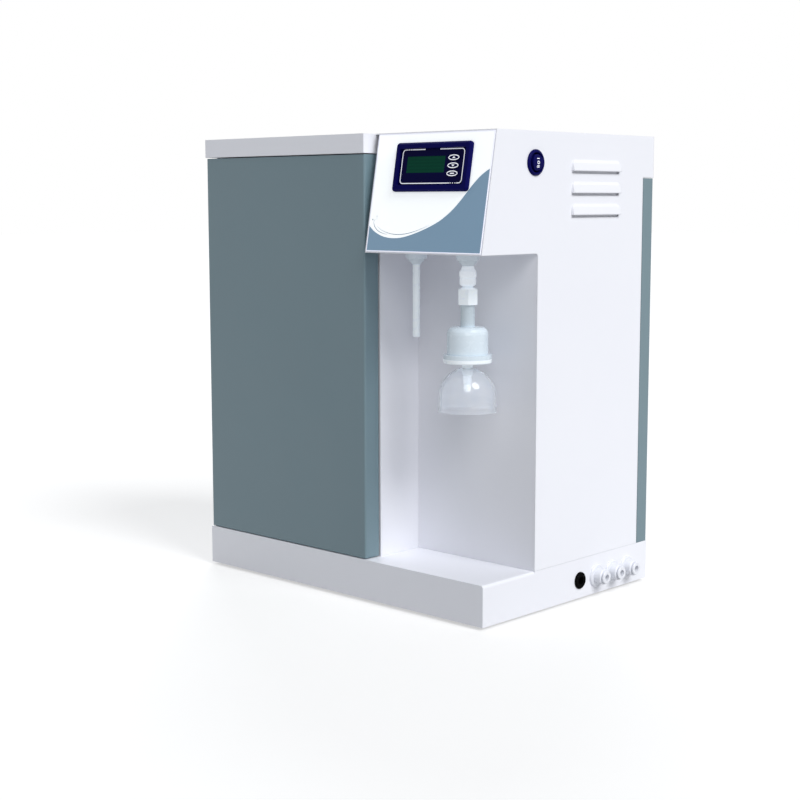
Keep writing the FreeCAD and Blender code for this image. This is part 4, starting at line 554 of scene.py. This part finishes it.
def floor_paper():
    """Seamless white paper: matt, and lifted to pure white only where it is looked at."""
    made = bpy.data.materials.new("white_background_paper")
    made.use_nodes = True
    tree = made.node_tree
    tree.nodes.clear()
    place = add(tree, "ShaderNodeTexCoord").outputs["Object"]
    paper = mottle(tree, place, "#c2c2c2", "#c6c6c6", 0.3)
    diffuse = give(tree, "ShaderNodeBsdfDiffuse", {0: paper})
    glow = give(tree, "ShaderNodeEmission", {0: (1, 1, 1, 1), 1: FLOOR_GLOW})
    both = give(tree, "ShaderNodeAddShader", {0: diffuse, 1: glow})
    add(tree, "ShaderNodeOutputMaterial", {0: by_sight(tree, diffuse, both)})
    return made


def lamp(name, level, azimuth, elevation, spread):
    """A broad distant lamp, by the level it gives a surface that faces it and where it stands."""
    light = bpy.data.lights.new(name, "SUN")
    light.energy = level * math.pi
    light.angle = math.radians(spread)
    held = bpy.data.objects.new(name, light)
    # Azimuth 0 is in front of the machine and 90 on its right
    held.rotation_euler = (math.radians(90 - elevation), 0, math.radians(azimuth))
    bpy.context.scene.collection.objects.link(held)


class WATER_OT_stage(bpy.types.Operator):
    """Makes the floor, the room's light, three lamps and the camera"""

    bl_idname = "water.stage"
    bl_label = "Stage"

    def execute(self, context):
        look, scene = context.scene.stage_look, context.scene
        half = look.floor_size / 2

        def square(shape):
            corners = ((-half, -half), (half, -half), (half, half), (-half, half))
            shape.faces.new([shape.verts.new((x, y, 0)) for x, y in corners])

        mesh_piece("floor", square, floor_paper())
        world = bpy.data.worlds.new("studio")
        world.use_nodes = True
        tree = world.node_tree
        tree.nodes.clear()
        room = give(tree, "ShaderNodeBackground", {0: (0.96, 1.02, 1.09, 1.0), 1: look.ambient})
        white = give(tree, "ShaderNodeBackground", {0: (1, 1, 1, 1), 1: 1.0})
        add(tree, "ShaderNodeOutputWorld", {0: by_sight(tree, room, white)})
        scene.world = world
        lamp("right_lamp", look.key, 86, 43, 28)
        lamp("front_lamp", look.fill, 43, 30, 36)
        lamp("rear_lamp", look.back, 222, 33, 30)
        scene.view_settings.view_transform = "Standard"
        camera = bpy.data.objects.new("camera", bpy.data.cameras.new("camera"))
        camera.data.lens, camera.data.sensor_width = 68.42, 36.0
        camera.location = (1.10356, -1.2133, 0.4072)
        camera.rotation_euler = tuple(math.radians(v) for v in (82.532, 0.07, 43.379))
        scene.collection.objects.link(camera)
        scene.camera = camera
        return {"FINISHED"}


class WATER_OT_finishes(bpy.types.Operator):
    """Makes every finish and dresses the machine's nodes in them"""

    bl_idname = "water.finishes"
    bl_label = "Finishes"

    def execute(self, context):
        make_finishes(context.scene.machine_look)
        dressed = {node: name for name, nodes in WEARS.items() for node in nodes}
        bare = sorted(set(NODES) - set(dressed))
        if bare:
            raise RuntimeError(f"nodes without a finish: {bare}")
        for node, name in dressed.items():
            slots = NODES[node].material_slots
            if not slots:
                NODES[node].data.materials.append(FINISHES[name])
            for slot in slots:
                slot.material = FINISHES[name]
        return {"FINISHED"}


class WATER_PT_panel(bpy.types.Panel):
    """Lists the colours, the light and the steps that make the machine"""

    bl_label = "Ultrapure water system"
    bl_idname = "WATER_PT_panel"
    bl_space_type = "VIEW_3D"
    bl_region_type = "UI"
    bl_category = "Water system"

    def draw(self, context):
        for name in GROUPS:
            group = getattr(context.scene, name)
            column = self.layout.box().column()
            for key in group.__annotations__:
                column.prop(group, key)
        for step in STEPS:
            self.layout.operator(f"water.{step}")


# ---------------------------------------------------------------- printed marks
# How far ink reaches into a face and stands out from it, and how far the film stands out
INK_SUNK, INK_PROUD, FILM_OUT = 0.02 * MM, 0.05 * MM, 0.4 * MM
# The film's fine lines, as points across and up the slope in millimetres, and its dots with radii
SWOOSH = (
    ((9.4, 33.1), (7.7, 30.6), (8.8, 27.4), (11.7, 23.8), (16.8, 20.9), (23.3, 19.0), (28.0, 18.2)),
    ((13.3, 25.8), (19.3, 22.6), (25.3, 20.6), (33.5, 18.9), (42.5, 18.4), (51.3, 19.1),
     (59.8, 20.7), (68.1, 23.0), (76.3, 25.9), (81.4, 27.9)),
)
SWOOSH_DOTS = ((6.0, 32.8, 0.75), (11.2, 35.9, 0.55), (11.6, 33.4, 0.3))
# The middle of the rocker's crowned face, and the radius it is crowned to
SWITCH_FACE_X, SWITCH_Y, SWITCH_Z = 197.06 * MM, -62.4 * MM, 443 * MM
ROCKER_CROWN = 18 * MM


def arc(middle, radius, start, end, steps=8, squash=1.0):
    """Points along an arc, by its middle, its radius and two angles in degrees."""
    turns = [math.radians(start + (end - start) * step / steps) for step in range(steps + 1)]
    across, up = middle
    return [(across + radius * math.cos(t), up + radius * squash * math.sin(t)) for t in turns]


def smooth(points, steps=6):
    """A path through the points, rounded by a cubic between each pair of them."""
    held = [Vector(point) for point in (points[0], *points, points[-1])]
    path = []
    for before, start, end, after in zip(held, held[1:], held[2:], held[3:]):
        for step in range(steps):
            t = step / steps
            path.append(
                (2 * start + (end - before) * t + (2 * before - 5 * start + 4 * end - after) * t**2
                 + (3 * start - before - 3 * end + after) * t**3) / 2
            )
    return path + [held[-1]]


def bridge(shape, low, high):
    """Joins two rings of as many corners by a face for each side."""
    for index in range(len(low)):
        other = (index + 1) % len(low)
        shape.faces.new((low[index], low[other], high[other], high[index]))


def strip(shape, lay, path, width, closed=False, tapered=False):
    """Prints a strip of ink along a path in a face's own plane; lay gives the points in space."""
    points = [Vector(point) for point in path]
    rows = []
    for index, point in enumerate(points):
        before = points[index - 1] if closed or index else point
        after = points[(index + 1) % len(points)] if closed or index + 1 < len(points) else point
        ahead = (after - before).normalized()
        share = 0.2 + 0.8 * math.sin(math.pi * index / (len(points) - 1)) if tapered else 1.0
        side = Vector((-ahead.y, ahead.x)) * width * share / 2
        corners = ((-1, -INK_SUNK), (1, -INK_SUNK), (1, INK_PROUD), (-1, INK_PROUD))
        rows.append([shape.verts.new(lay(*(point + sign * side), out)) for sign, out in corners])
    pairs = list(zip(rows, rows[1:])) + ([(rows[-1], rows[0])] if closed else [])
    for row, onward in pairs:
        bridge(shape, row, onward)
    if not closed:
        shape.faces.new(rows[0])
        shape.faces.new(rows[-1])
    bmesh.ops.recalc_face_normals(shape, faces=shape.faces[:])


def patch(shape, lay, outline):
    """Prints a filled convex patch of ink."""
    low, high = [
        [shape.verts.new(lay(*point, out)) for point in outline] for out in (-INK_SUNK, INK_PROUD)
    ]
    shape.faces.new(low)
    shape.faces.new(high)
    bridge(shape, low, high)
    bmesh.ops.recalc_face_normals(shape, faces=shape.faces[:])


def meter_frame(shape, look):
    """The white line round the meter's face, with its gap, its three dashes and its three dots."""

    def lay(across, up, out):
        return on_fascia(METER_X + across, up, FACEPLATE_OUT + out)

    width, corner = look.frame_line, look.frame_corner
    left, right, low, high = 8.3 * MM, 87.2 * MM, 68 * MM, 100.7 * MM
    dash_left, dash_right, gap_left, gap_right = 11.3 * MM, 20.1 * MM, 37.1 * MM, 56.2 * MM
    dot_left, dot_right = 72.2 * MM, 81.2 * MM
    strip(shape, lay, [(dash_right, high), (gap_left, high)], width)
    right_side = [(gap_right, high)]
    right_side += arc((right - corner, high - corner), corner, 90, 0)
    right_side += arc((right - corner, low + corner), corner, 0, -90)
    strip(shape, lay, right_side + [(dot_right, low)], width)
    left_side = [(dot_left, low)]
    left_side += arc((left + corner, low + corner), corner, 270, 180)
    left_side += arc((left + corner, high - corner), corner, 180, 90)
    strip(shape, lay, left_side[:-1] + [(dash_left, high)], width)
    # Three dashes at the top and three dots at the foot, each by half its share of a step
    breaks = ((dash_left, dash_right, high, 0.36), (dot_left, dot_right, low, 0.2))
    for start, end, up, share in breaks:
        step = (end - start) / 3
        for index in range(3):
            middle, half = start + step * (index + 0.5), step * share
            strip(shape, lay, [(middle - half, up), (middle + half, up)], width)


def key_mark(shape, look, up, mark):
    """A key's white oval, and its mark within: a triangle that points up or down, or a bar."""

    def lay(across, rise, out):
        return on_fascia(KEY_X + across, up + rise, KEYS_OUT + out)

    half = look.key_ring / 2
    strip(shape, lay, arc((0, 0), half, 0, 360, 48, 0.35)[:-1], look.key_line, closed=True)
    size = look.key_mark / 2
    if mark == "bar":
        long, tall = 2.2 * size, size / 2
        patch(shape, lay, [(-long, -tall), (long, -tall), (long, tall), (-long, tall)])
    else:
        sign = 1 if mark == "up" else -1
        foot = -0.7 * size * sign
        patch(shape, lay, [(-1.8 * size, foot), (1.8 * size, foot), (0, size * sign)])


def film_swoosh(shape, look):
    """Two fine tapering lines above the film's wave, and three dots where they end."""

    def lay(across, up, out):
        return on_fascia(FASCIA_X + across, up, FILM_OUT + out)

    for line in SWOOSH:
        path = smooth([(across * MM, up * MM) for across, up in line])
        strip(shape, lay, path, look.swoosh_line, tapered=True)
    for across, up, radius in SWOOSH_DOTS:
        patch(shape, lay, arc((across * MM, up * MM), radius * MM, 0, 360, 16)[:-1])


def switch_marks(shape, look):
    """I, O and II on the rocker's crowned face, turned a quarter as they are moulded."""

    def lay(along, rise, out):
        bulge = math.sqrt(ROCKER_CROWN**2 - rise**2) - ROCKER_CROWN
        return Vector((SWITCH_FACE_X + bulge + out, SWITCH_Y + along, SWITCH_Z + rise))

    step, half, line = look.switch_step, look.switch_mark / 2, look.switch_line
    strip(shape, lay, [(-half, step), (half, step)], line)
    strip(shape, lay, arc((0, 0), half * 0.72, 0, 360, 28)[:-1], line, closed=True)
    for rise in (-step + 0.85 * line, -step - 0.85 * line):
        strip(shape, lay, [(-half, rise), (half, rise)], line)


class MarksLook(bpy.types.PropertyGroup):
    """Sizes of the printed marks."""

    frame_line: length("Frame line", "Width of the meter's white frame", 0.9 * MM)
    frame_corner: length("Frame corner", "Radius of the frame's corners", 3.4 * MM)
    key_ring: length("Key oval", "Width of a key's white oval", 12.8 * MM)
    key_line: length("Key line", "Width of the oval's line", 0.85 * MM)
    key_mark: length("Key mark", "Height of a key's mark", 2.2 * MM)
    switch_step: length("Switch step", "From one switch mark to the next", 3.75 * MM)
    switch_mark: length("Switch mark", "Width of a switch mark", 3.8 * MM)
    swoosh_line: length("Swoosh line", "Width of the film's fine lines", 0.6 * MM)
    switch_line: length("Switch line", "Width of a mark's line", 0.7 * MM)


class WATER_OT_marks(bpy.types.Operator):
    """Prints the meter's frame, the marks of its keys and those of the power switch"""

    bl_idname = "water.marks"
    bl_label = "Printed marks"

    def execute(self, context):
        look, ink = context.scene.marks_look, FINISHES["white_pad_printing_ink"]
        frame_piece = mesh_piece("meter_frame_print", lambda shape: meter_frame(shape, look), ink)
        finish_piece(frame_piece, "cabinet", "overlay_film")
        keys = (("key_enter", "bar", -1), ("key_down", "down", 0), ("key_up", "up", 1))
        for key, mark, row in keys:
            up = KEY_UP + row * KEY_PITCH
            piece = mesh_piece(key + "_print", lambda shape: key_mark(shape, look, up, mark), ink)
            finish_piece(piece, key, "overlay_film")
        blue = FINISHES["blue_grey_printing_ink"]
        swoosh = mesh_piece("film_swoosh_print", lambda shape: film_swoosh(shape, look), blue)
        finish_piece(swoosh, "cabinet", "overlay_film")
        piece = mesh_piece("switch_print", lambda shape: switch_marks(shape, look), ink)
        finish_piece(piece, "power_rocker", "overlay_film")
        return {"FINISHED"}


# ---------------------------------------------------------------- what repeats, by geometry nodes
QUARTER = math.radians(90)


def new_tree(name, **sizes):
    """A geometry node tree with a named input for each size, and its group input node."""
    tree = bpy.data.node_groups.new(name, "GeometryNodeTree")
    tree.interface.new_socket("Geometry", in_out="OUTPUT", socket_type="NodeSocketGeometry")
    for key, default in sizes.items():
        kind = {int: "Int", float: "Float", tuple: "Vector"}[type(default)]
        socket = tree.interface.new_socket(
            key.replace("_", " "), in_out="INPUT", socket_type="NodeSocket" + kind
        )
        socket.default_value = default
        if kind == "Float":
            socket.subtype = "DISTANCE"
    return tree, tree.nodes.new("NodeGroupInput").outputs


def close_tree(tree, geometry, finish):
    """Ends a tree and gives it back: instances made real, dressed in a finish, and given out."""
    real = give(tree, "GeometryNodeRealizeInstances", {0: geometry})
    dress = {"Geometry": real, "Material": FINISHES[finish]}
    add(tree, "NodeGroupOutput", {0: give(tree, "GeometryNodeSetMaterial", dress)})
    return tree


def moved(tree, geometry, place=None, turn=None, scale=None):
    """A part moved, turned or scaled."""
    inputs = {"Geometry": geometry}
    for key, value in (("Translation", place), ("Rotation", turn), ("Scale", scale)):
        if value is not None:
            inputs[key] = value
    return give(tree, "GeometryNodeTransform", inputs)


def joined(tree, *parts):
    """Parts joined into one, in the order given."""
    join = add(tree, "GeometryNodeJoinGeometry")
    for part in reversed(parts):
        link(join, part, 0)
    return join.outputs[0]


def vector(tree, x=0.0, y=0.0, z=0.0):
    return give(tree, "ShaderNodeCombineXYZ", {0: x, 1: y, 2: z})


def times(tree, value, factor):
    """A length times a number."""
    return maths(tree, "MULTIPLY", value, factor)


def cube(tree, size):
    """A box about its own middle."""
    return give(tree, "GeometryNodeMeshCube", {"Size": size})


def cylinder(tree, sides, radius, depth):
    """A cylinder about its own middle, with its axis upright."""
    sizes = {"Vertices": sides, "Radius": radius, "Depth": depth}
    return give(tree, "GeometryNodeMeshCylinder", sizes)


def copies(tree, points, part, turn=None):
    """Copies of a part, one on each point."""
    inputs = {"Points": points, "Instance": part}
    if turn:
        inputs["Rotation"] = turn
    return give(tree, "GeometryNodeInstanceOnPoints", inputs)


def row_tree(name, **sizes):
    """A tree for parts in a row, whose first place and step are inputs."""
    return new_tree(name, Start=(0.0, 0.0, 0.0), Step=(0.0, 0.0, 0.0), **sizes)


def close_row(tree, sizes, part, finish, turn=None, count="Count"):
    """Ends a tree with copies of a part in a row."""
    row = give(tree, "GeometryNodeMeshLine", {
        "Count": sizes[count], "Start Location": sizes["Start"], "Offset": sizes["Step"],
    })
    return close_tree(tree, copies(tree, row, part, turn), finish)


def grow(name, tree, body, slot, sizes, *nodes):
    """Runs a tree with its sizes set, and keeps what it makes as one plain mesh on a body."""
    host = bpy.data.objects.new(name + "_host", bpy.data.meshes.new(name + "_host"))
    bpy.context.scene.collection.objects.link(host)
    modifier = host.modifiers.new("grow", "NODES")
    modifier.node_group = tree
    left = dict(sizes)
    for item in tree.interface.items_tree:
        if item.in_out == "INPUT" and item.name in left:
            modifier[item.identifier] = left.pop(item.name)
    if left:
        raise RuntimeError(f"{name}: no such inputs: {sorted(left)}")
    graph = bpy.context.evaluated_depsgraph_get()
    mesh = bpy.data.meshes.new_from_object(host.evaluated_get(graph), depsgraph=graph)
    host_mesh = host.data
    bpy.data.objects.remove(host)
    bpy.data.meshes.remove(host_mesh)
    if not mesh.polygons:
        raise RuntimeError(f"{name}: the node tree made nothing")
    mesh.name = name
    piece = bpy.data.objects.new(name, mesh)
    bpy.context.scene.collection.objects.link(piece)
    return finish_piece(piece, body, slot, *nodes)


def screw_tree(finish):
    """Cross-recessed pan-head screws on an upright grid; each head stands out along +Y."""
    tree, sizes = new_tree(
        "screws", Middle=(0.0, 0.0, 0.0), Across=0.05, Up=0.05, Columns=2, Rows=2,
        Head_Radius=3.6 * MM, Head_Height=1.8 * MM, Shank_Radius=1.9 * MM, Length=9 * MM,
    )
    recess = times(tree, sizes["Head Radius"], 1.1)
    slot_width = times(tree, sizes["Head Radius"], 0.26)
    crown = times(tree, sizes["Head Radius"], 0.72)
    skirt = times(tree, sizes["Head Height"], 0.5)
    head = cylinder(tree, 24, sizes["Head Radius"], skirt)
    head = moved(tree, head, vector(tree, z=times(tree, skirt, 0.5)))
    # The cone starts at its own base, so it needs no lift but the skirt's
    cap = give(tree, "GeometryNodeMeshCone", {
        "Vertices": 24, "Radius Top": crown, "Radius Bottom": sizes["Head Radius"], "Depth": skirt,
    })
    cap = moved(tree, cap, vector(tree, z=skirt))
    shank = cylinder(tree, 16, sizes["Shank Radius"], sizes["Length"])
    shank = moved(tree, shank, vector(tree, z=times(tree, sizes["Length"], -0.5)))
    whole = add(tree, "GeometryNodeMeshBoolean", operation="UNION", solver="EXACT")
    for part in (head, cap, shank):
        link(whole, part, "Mesh 2")
    drilled = add(
        tree, "GeometryNodeMeshBoolean", {"Mesh 1": whole.outputs[0]}, operation="DIFFERENCE",
        solver="EXACT",
    )
    for x, y in ((recess, slot_width), (slot_width, recess)):
        bar = cube(tree, vector(tree, x, y, sizes["Head Height"]))
        link(drilled, moved(tree, bar, vector(tree, z=sizes["Head Height"])), "Mesh 2")
    screw = moved(tree, drilled.outputs[0], turn=(-QUARTER, 0.0, 0.0))
    grid = give(tree, "GeometryNodeMeshGrid", {
        "Size X": sizes["Across"], "Size Y": sizes["Up"],
        "Vertices X": sizes["Columns"], "Vertices Y": sizes["Rows"],
    })
    grid = moved(tree, grid, sizes["Middle"], (QUARTER, 0.0, 0.0))
    return close_tree(tree, copies(tree, grid, screw), finish)


def rib_tree(finish):
    """Rings of straight ribs round an axis, repeated in steps: cap grips, cooling fins."""
    tree, sizes = row_tree(
        "ribs", Repeats=1, Turn=(0.0, 0.0, 0.0), Count=36, Radius=35.5 * MM, Depth=2 * MM,
        Width=1.5 * MM, Height=20 * MM,
    )
    rib = cube(tree, vector(tree, sizes["Depth"], sizes["Width"], sizes["Height"]))
    corners = {"Vertices": sizes["Count"], "Radius": sizes["Radius"]}
    ring = give(tree, "GeometryNodeMeshCircle", corners)
    place = give(tree, "GeometryNodeInputPosition")
    aim = give(tree, "FunctionNodeAlignRotationToVector", {"Vector": place}, axis="X")
    turned = moved(tree, copies(tree, ring, rib, aim), turn=sizes["Turn"])
    return close_row(tree, sizes, turned, finish, count="Repeats")


def slat_tree(finish):
    """Flat slats in a row, each turned by the same angle: louvre baffles, fins of a heat sink."""
    tree, sizes = row_tree(
        "slats", Count=3, Size=(1 * MM, 80 * MM, 5 * MM), Turn=(0.0, 0.0, 0.0)
    )
    aim = give(tree, "FunctionNodeEulerToRotation", {0: sizes["Turn"]})
    return close_row(tree, sizes, cube(tree, sizes["Size"]), finish, aim)


def clamp_tree(finish):
    """Worm-drive hose clamps in a row: a band, its screw housing and the screw's head."""
    tree, sizes = row_tree(
        "clamps", Count=2, Turn=(0.0, 0.0, 0.0), Radius=4 * MM, Thickness=0.6 * MM, Width=5 * MM
    )
    radius, width = sizes["Radius"], sizes["Width"]
    around = {"Resolution": 32, "Radius": radius}
    circle = give(tree, "GeometryNodeCurvePrimitiveCircle", around, mode="RADIUS")
    section = {"Width": times(tree, sizes["Thickness"], 2.0), "Height": width}
    profile = give(tree, "GeometryNodeCurvePrimitiveQuadrilateral", section)
    band = give(tree, "GeometryNodeCurveToMesh", {0: circle, 1: profile})
    house_size = times(tree, radius, 0.7)
    house = cube(tree, vector(tree, house_size, times(tree, radius, 1.5), width))
    out = maths(tree, "ADD", radius, times(tree, house_size, 0.5))
    house = moved(tree, house, vector(tree, out))
    head = cylinder(tree, 6, times(tree, width, 0.42), radius)
    head_place = vector(tree, out, times(tree, radius, -1.0))
    head = moved(tree, head, head_place, (QUARTER, 0.0, 0.0))
    turned = moved(tree, joined(tree, band, house, head), turn=sizes["Turn"])
    return close_row(tree, sizes, turned, finish)


def tee_tree(finish):
    """Tee fittings in a row: an upright socket, an arm to either side and a nut on each arm."""
    tree, sizes = row_tree(
        "tees", Count=3, Socket=7.6 * MM, Height=16 * MM, Arm=30 * MM, Nut=7 * MM
    )
    flat = (0.0, QUARTER, 0.0)
    socket = cylinder(tree, 32, sizes["Socket"], sizes["Height"])
    arm = cylinder(tree, 32, times(tree, sizes["Socket"], 0.75), sizes["Arm"])
    parts = [socket, moved(tree, arm, turn=flat)]
    reach = times(tree, sizes["Arm"], 0.42)
    for sign in (-1.0, 1.0):
        nut = cylinder(tree, 6, sizes["Nut"], times(tree, sizes["Arm"], 0.2))
        parts.append(moved(tree, nut, vector(tree, times(tree, reach, sign)), flat))
    return close_row(tree, sizes, joined(tree, *parts), finish)


def tube_tree(finish):
    """Straight lengths of tube in a row."""
    tree, sizes = row_tree(
        "tubes", Count=2, Turn=(0.0, QUARTER, 0.0), Radius=4 * MM, Length=50 * MM
    )
    tube = cylinder(tree, 32, sizes["Radius"], sizes["Length"])
    return close_row(tree, sizes, moved(tree, tube, turn=sizes["Turn"]), finish)


# Places and sizes of the hidden parts that the small hardware sits on
CARTRIDGE_PITCH = 76 * MM
GRIP_FROM_FOOT, GRIP_FROM_TOP, GRIP_HEIGHT, GRIP_WIDTH = 17 * MM, 34 * MM, 22 * MM, 1.8 * MM
MOTOR_HEIGHT, MOTOR_RADIUS, FIN_LENGTH, FIN_WIDTH = 82 * MM, 28 * MM, 58 * MM, 1.4 * MM
SIDE_INNER_X, LOUVRE_PITCH, BAFFLE_SIZE = 191.86 * MM, 21.5 * MM, (0.8 * MM, 84 * MM, 7 * MM)
TOP_LOUVRE = (35 * MM, 435 * MM)


class DetailLook(bpy.types.PropertyGroup):
    """Sizes of the small hardware."""

    grips: bpy.props.IntProperty(
        name="Grips", description="Grip ribs round a cartridge cap", default=36, min=6
    )
    grip_depth: length("Grip depth", "How far a grip rib stands out", 0.9 * MM)
    fins: bpy.props.IntProperty(
        name="Fins", description="Cooling fins round the pump motor", default=28, min=6
    )
    fin_depth: length("Fin depth", "How far a fin stands out", 1.6 * MM)
    clamp_width: length("Clamp width", "Width of a hose clamp's band", 5 * MM)
    baffle_back: length("Baffle set-back", "From the side's inner face to a baffle", 0.5 * MM)


class WATER_OT_screws(bpy.types.Operator):
    """Makes the cross-recessed screws of the rear cover, the boards and the terminals"""

    bl_idname = "water.screws"
    bl_label = "Screws"

    def execute(self, context):
        tree = screw_tree("zinc_plated_steel")
        low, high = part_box("housing_screws")
        head, rise = 3.6 * MM, 1.8 * MM
        middle = ((low[0] + high[0]) / 2, high[1] - rise, (low[2] + high[2]) / 2)
        grow("cover_screws", tree, "cabinet", "plated_steel", {
            "Middle": middle, "Across": high[0] - low[0] - 2 * head,
            "Up": high[2] - low[2] - 2 * head, "Head Radius": head, "Head Height": rise,
        }, "housing_screws")
        small = {
            "Head Radius": 2.2 * MM, "Head Height": 1.4 * MM, "Shank Radius": 1.2 * MM,
            "Length": 3 * MM,
        }
        # Each board's screws: their middle, their spread and their count, in millimetres
        for name, middle, across, up, columns, rows in (
            ("board_screws", (118.06, -17.2, 297), 110, 80, 2, 2),
            ("board_terminal_screws", (103.06, -5.2, 328), 52, 0, 9, 1),
            ("supply_terminal_screws", (134.06, -4.8, 228), 56, 0, 8, 1),
        ):
            grow(name, tree, "cabinet", "plated_steel", {
                "Middle": tuple(v * MM for v in middle), "Across": across * MM, "Up": up * MM,
                "Columns": columns, "Rows": rows, **small,
            })
        return {"FINISHED"}


class WATER_OT_ribs(bpy.types.Operator):
    """Makes the grip ribs of the canister caps and the pump motor's cooling fins"""

    bl_idname = "water.ribs"
    bl_label = "Grips and fins"

    def execute(self, context):
        look = context.scene.detail_look
        caps = rib_tree("white_moulded_polypropylene")
        for name, first, repeats, step in (
            ("cartridge", "sediment_cartridge", 3, CARTRIDGE_PITCH),
            ("column", "polishing_column", 1, 0.0),
        ):
            low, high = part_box(first)
            middle = (low[0] + high[0]) / 2, (low[1] + high[1]) / 2
            radius = (high[0] - low[0]) / 2
            heights = (("low", low[2] + GRIP_FROM_FOOT), ("high", high[2] - GRIP_FROM_TOP))
            for end, height in heights:
                grow(f"{name}_{end}_grips", caps, "cabinet", "cartridge_plastic", {
                    "Start": (*middle, height), "Step": (step, 0.0, 0.0), "Repeats": repeats,
                    "Count": look.grips, "Radius": radius, "Depth": 2 * look.grip_depth,
                    "Width": GRIP_WIDTH, "Height": GRIP_HEIGHT,
                })
        low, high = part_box("pump_motor")
        grow("motor_fins", rib_tree("black_glass_filled_nylon"), "cabinet", "black_plastic", {
            "Start": ((low[0] + high[0]) / 2, (low[1] + high[1]) / 2, MOTOR_HEIGHT),
            "Turn": (0.0, QUARTER, 0.0), "Count": look.fins, "Radius": MOTOR_RADIUS,
            "Depth": 2 * look.fin_depth, "Width": FIN_WIDTH, "Height": FIN_LENGTH,
        })
        return {"FINISHED"}


class WATER_OT_baffles(bpy.types.Operator):
    """Makes the strips that close the view through the three louvres"""

    bl_idname = "water.baffles"
    bl_label = "Louvre baffles"

    def execute(self, context):
        look = context.scene.detail_look
        outward = SIDE_INNER_X - look.baffle_back - BAFFLE_SIZE[0] / 2
        grow("louvre_baffles", slat_tree("white_powder_coat"), "cabinet", "white_paint", {
            "Start": (outward, *TOP_LOUVRE), "Step": (0.0, 0.0, -LOUVRE_PITCH), "Size": BAFFLE_SIZE,
        })
        return {"FINISHED"}


class WATER_OT_clamps(bpy.types.Operator):
    """Makes the clamps that hold the hoses on the outlets, the canisters and the ports"""

    bl_idname = "water.clamps"
    bl_label = "Hose clamps"

    def execute(self, context):
        tree = clamp_tree("brushed_stainless_steel")
        width = {"Width": context.scene.detail_look.clamp_width}
        # Each row of clamps: its first place and its step in millimetres, its count and its turn
        for name, start, step, count, turn in (
            ("outlet_clamps", (70.06, -96, 376.5), (68, 0, 0), 2, 0),
            ("canister_clamps", (-70.94, 19.5, 364), (-80, 6, 30), 2, 0),
            ("port_clamps", (175, 46, 21.5), (0, 26.5, 0), 3, 90),
        ):
            grow(name, tree, "cabinet", "stainless_steel", {
                "Start": tuple(v * MM for v in start), "Step": tuple(v * MM for v in step),
                "Count": count, "Turn": (0.0, math.radians(turn), 0.0), **width,
            })
        return {"FINISHED"}


class WATER_OT_manifold(bpy.types.Operator):
    """Makes the tees on the three cartridges and the tubes between them"""

    bl_idname = "water.manifold"
    bl_label = "Cartridge manifold"

    def execute(self, context):
        low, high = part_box("sediment_cartridge")
        pitch, arm = CARTRIDGE_PITCH, 30 * MM
        middle = ((low[0] + high[0]) / 2, (low[1] + high[1]) / 2, high[2])
        grow("cartridge_tees", tee_tree("white_acetal"), "cabinet", "port_plastic", {
            "Start": middle, "Step": (pitch, 0.0, 0.0), "Arm": arm,
        })
        grow("cartridge_tubes", tube_tree("natural_polyethylene_hose"), "cabinet", "hose", {
            "Start": (middle[0] + pitch / 2, middle[1], middle[2]), "Step": (pitch, 0.0, 0.0),
            "Length": pitch - arm + 4 * MM,
        })
        return {"FINISHED"}


CLASSES = (
    MachineLook, StageLook, MarksLook, DetailLook, WATER_OT_stage, WATER_OT_finishes,
    WATER_OT_marks, WATER_OT_screws, WATER_OT_ribs, WATER_OT_baffles, WATER_OT_clamps,
    WATER_OT_manifold, WATER_PT_panel,
)
GROUPS = {
    "machine_look": MachineLook, "stage_look": StageLook,
    "marks_look": MarksLook, "detail_look": DetailLook,
}
STEPS = ("stage", "finishes", "marks", "screws", "ribs", "baffles", "clamps", "manifold")


def register():
    for made in CLASSES:
        bpy.utils.register_class(made)
    for name, group in GROUPS.items():
        setattr(bpy.types.Scene, name, bpy.props.PointerProperty(type=group))


def unregister():
    for name in GROUPS:
        delattr(bpy.types.Scene, name)
    for made in reversed(CLASSES):
        bpy.utils.unregister_class(made)


def main():
    register()
    for step in STEPS:
        getattr(bpy.ops.water, step)()


if __name__ == "__main__":
    main()
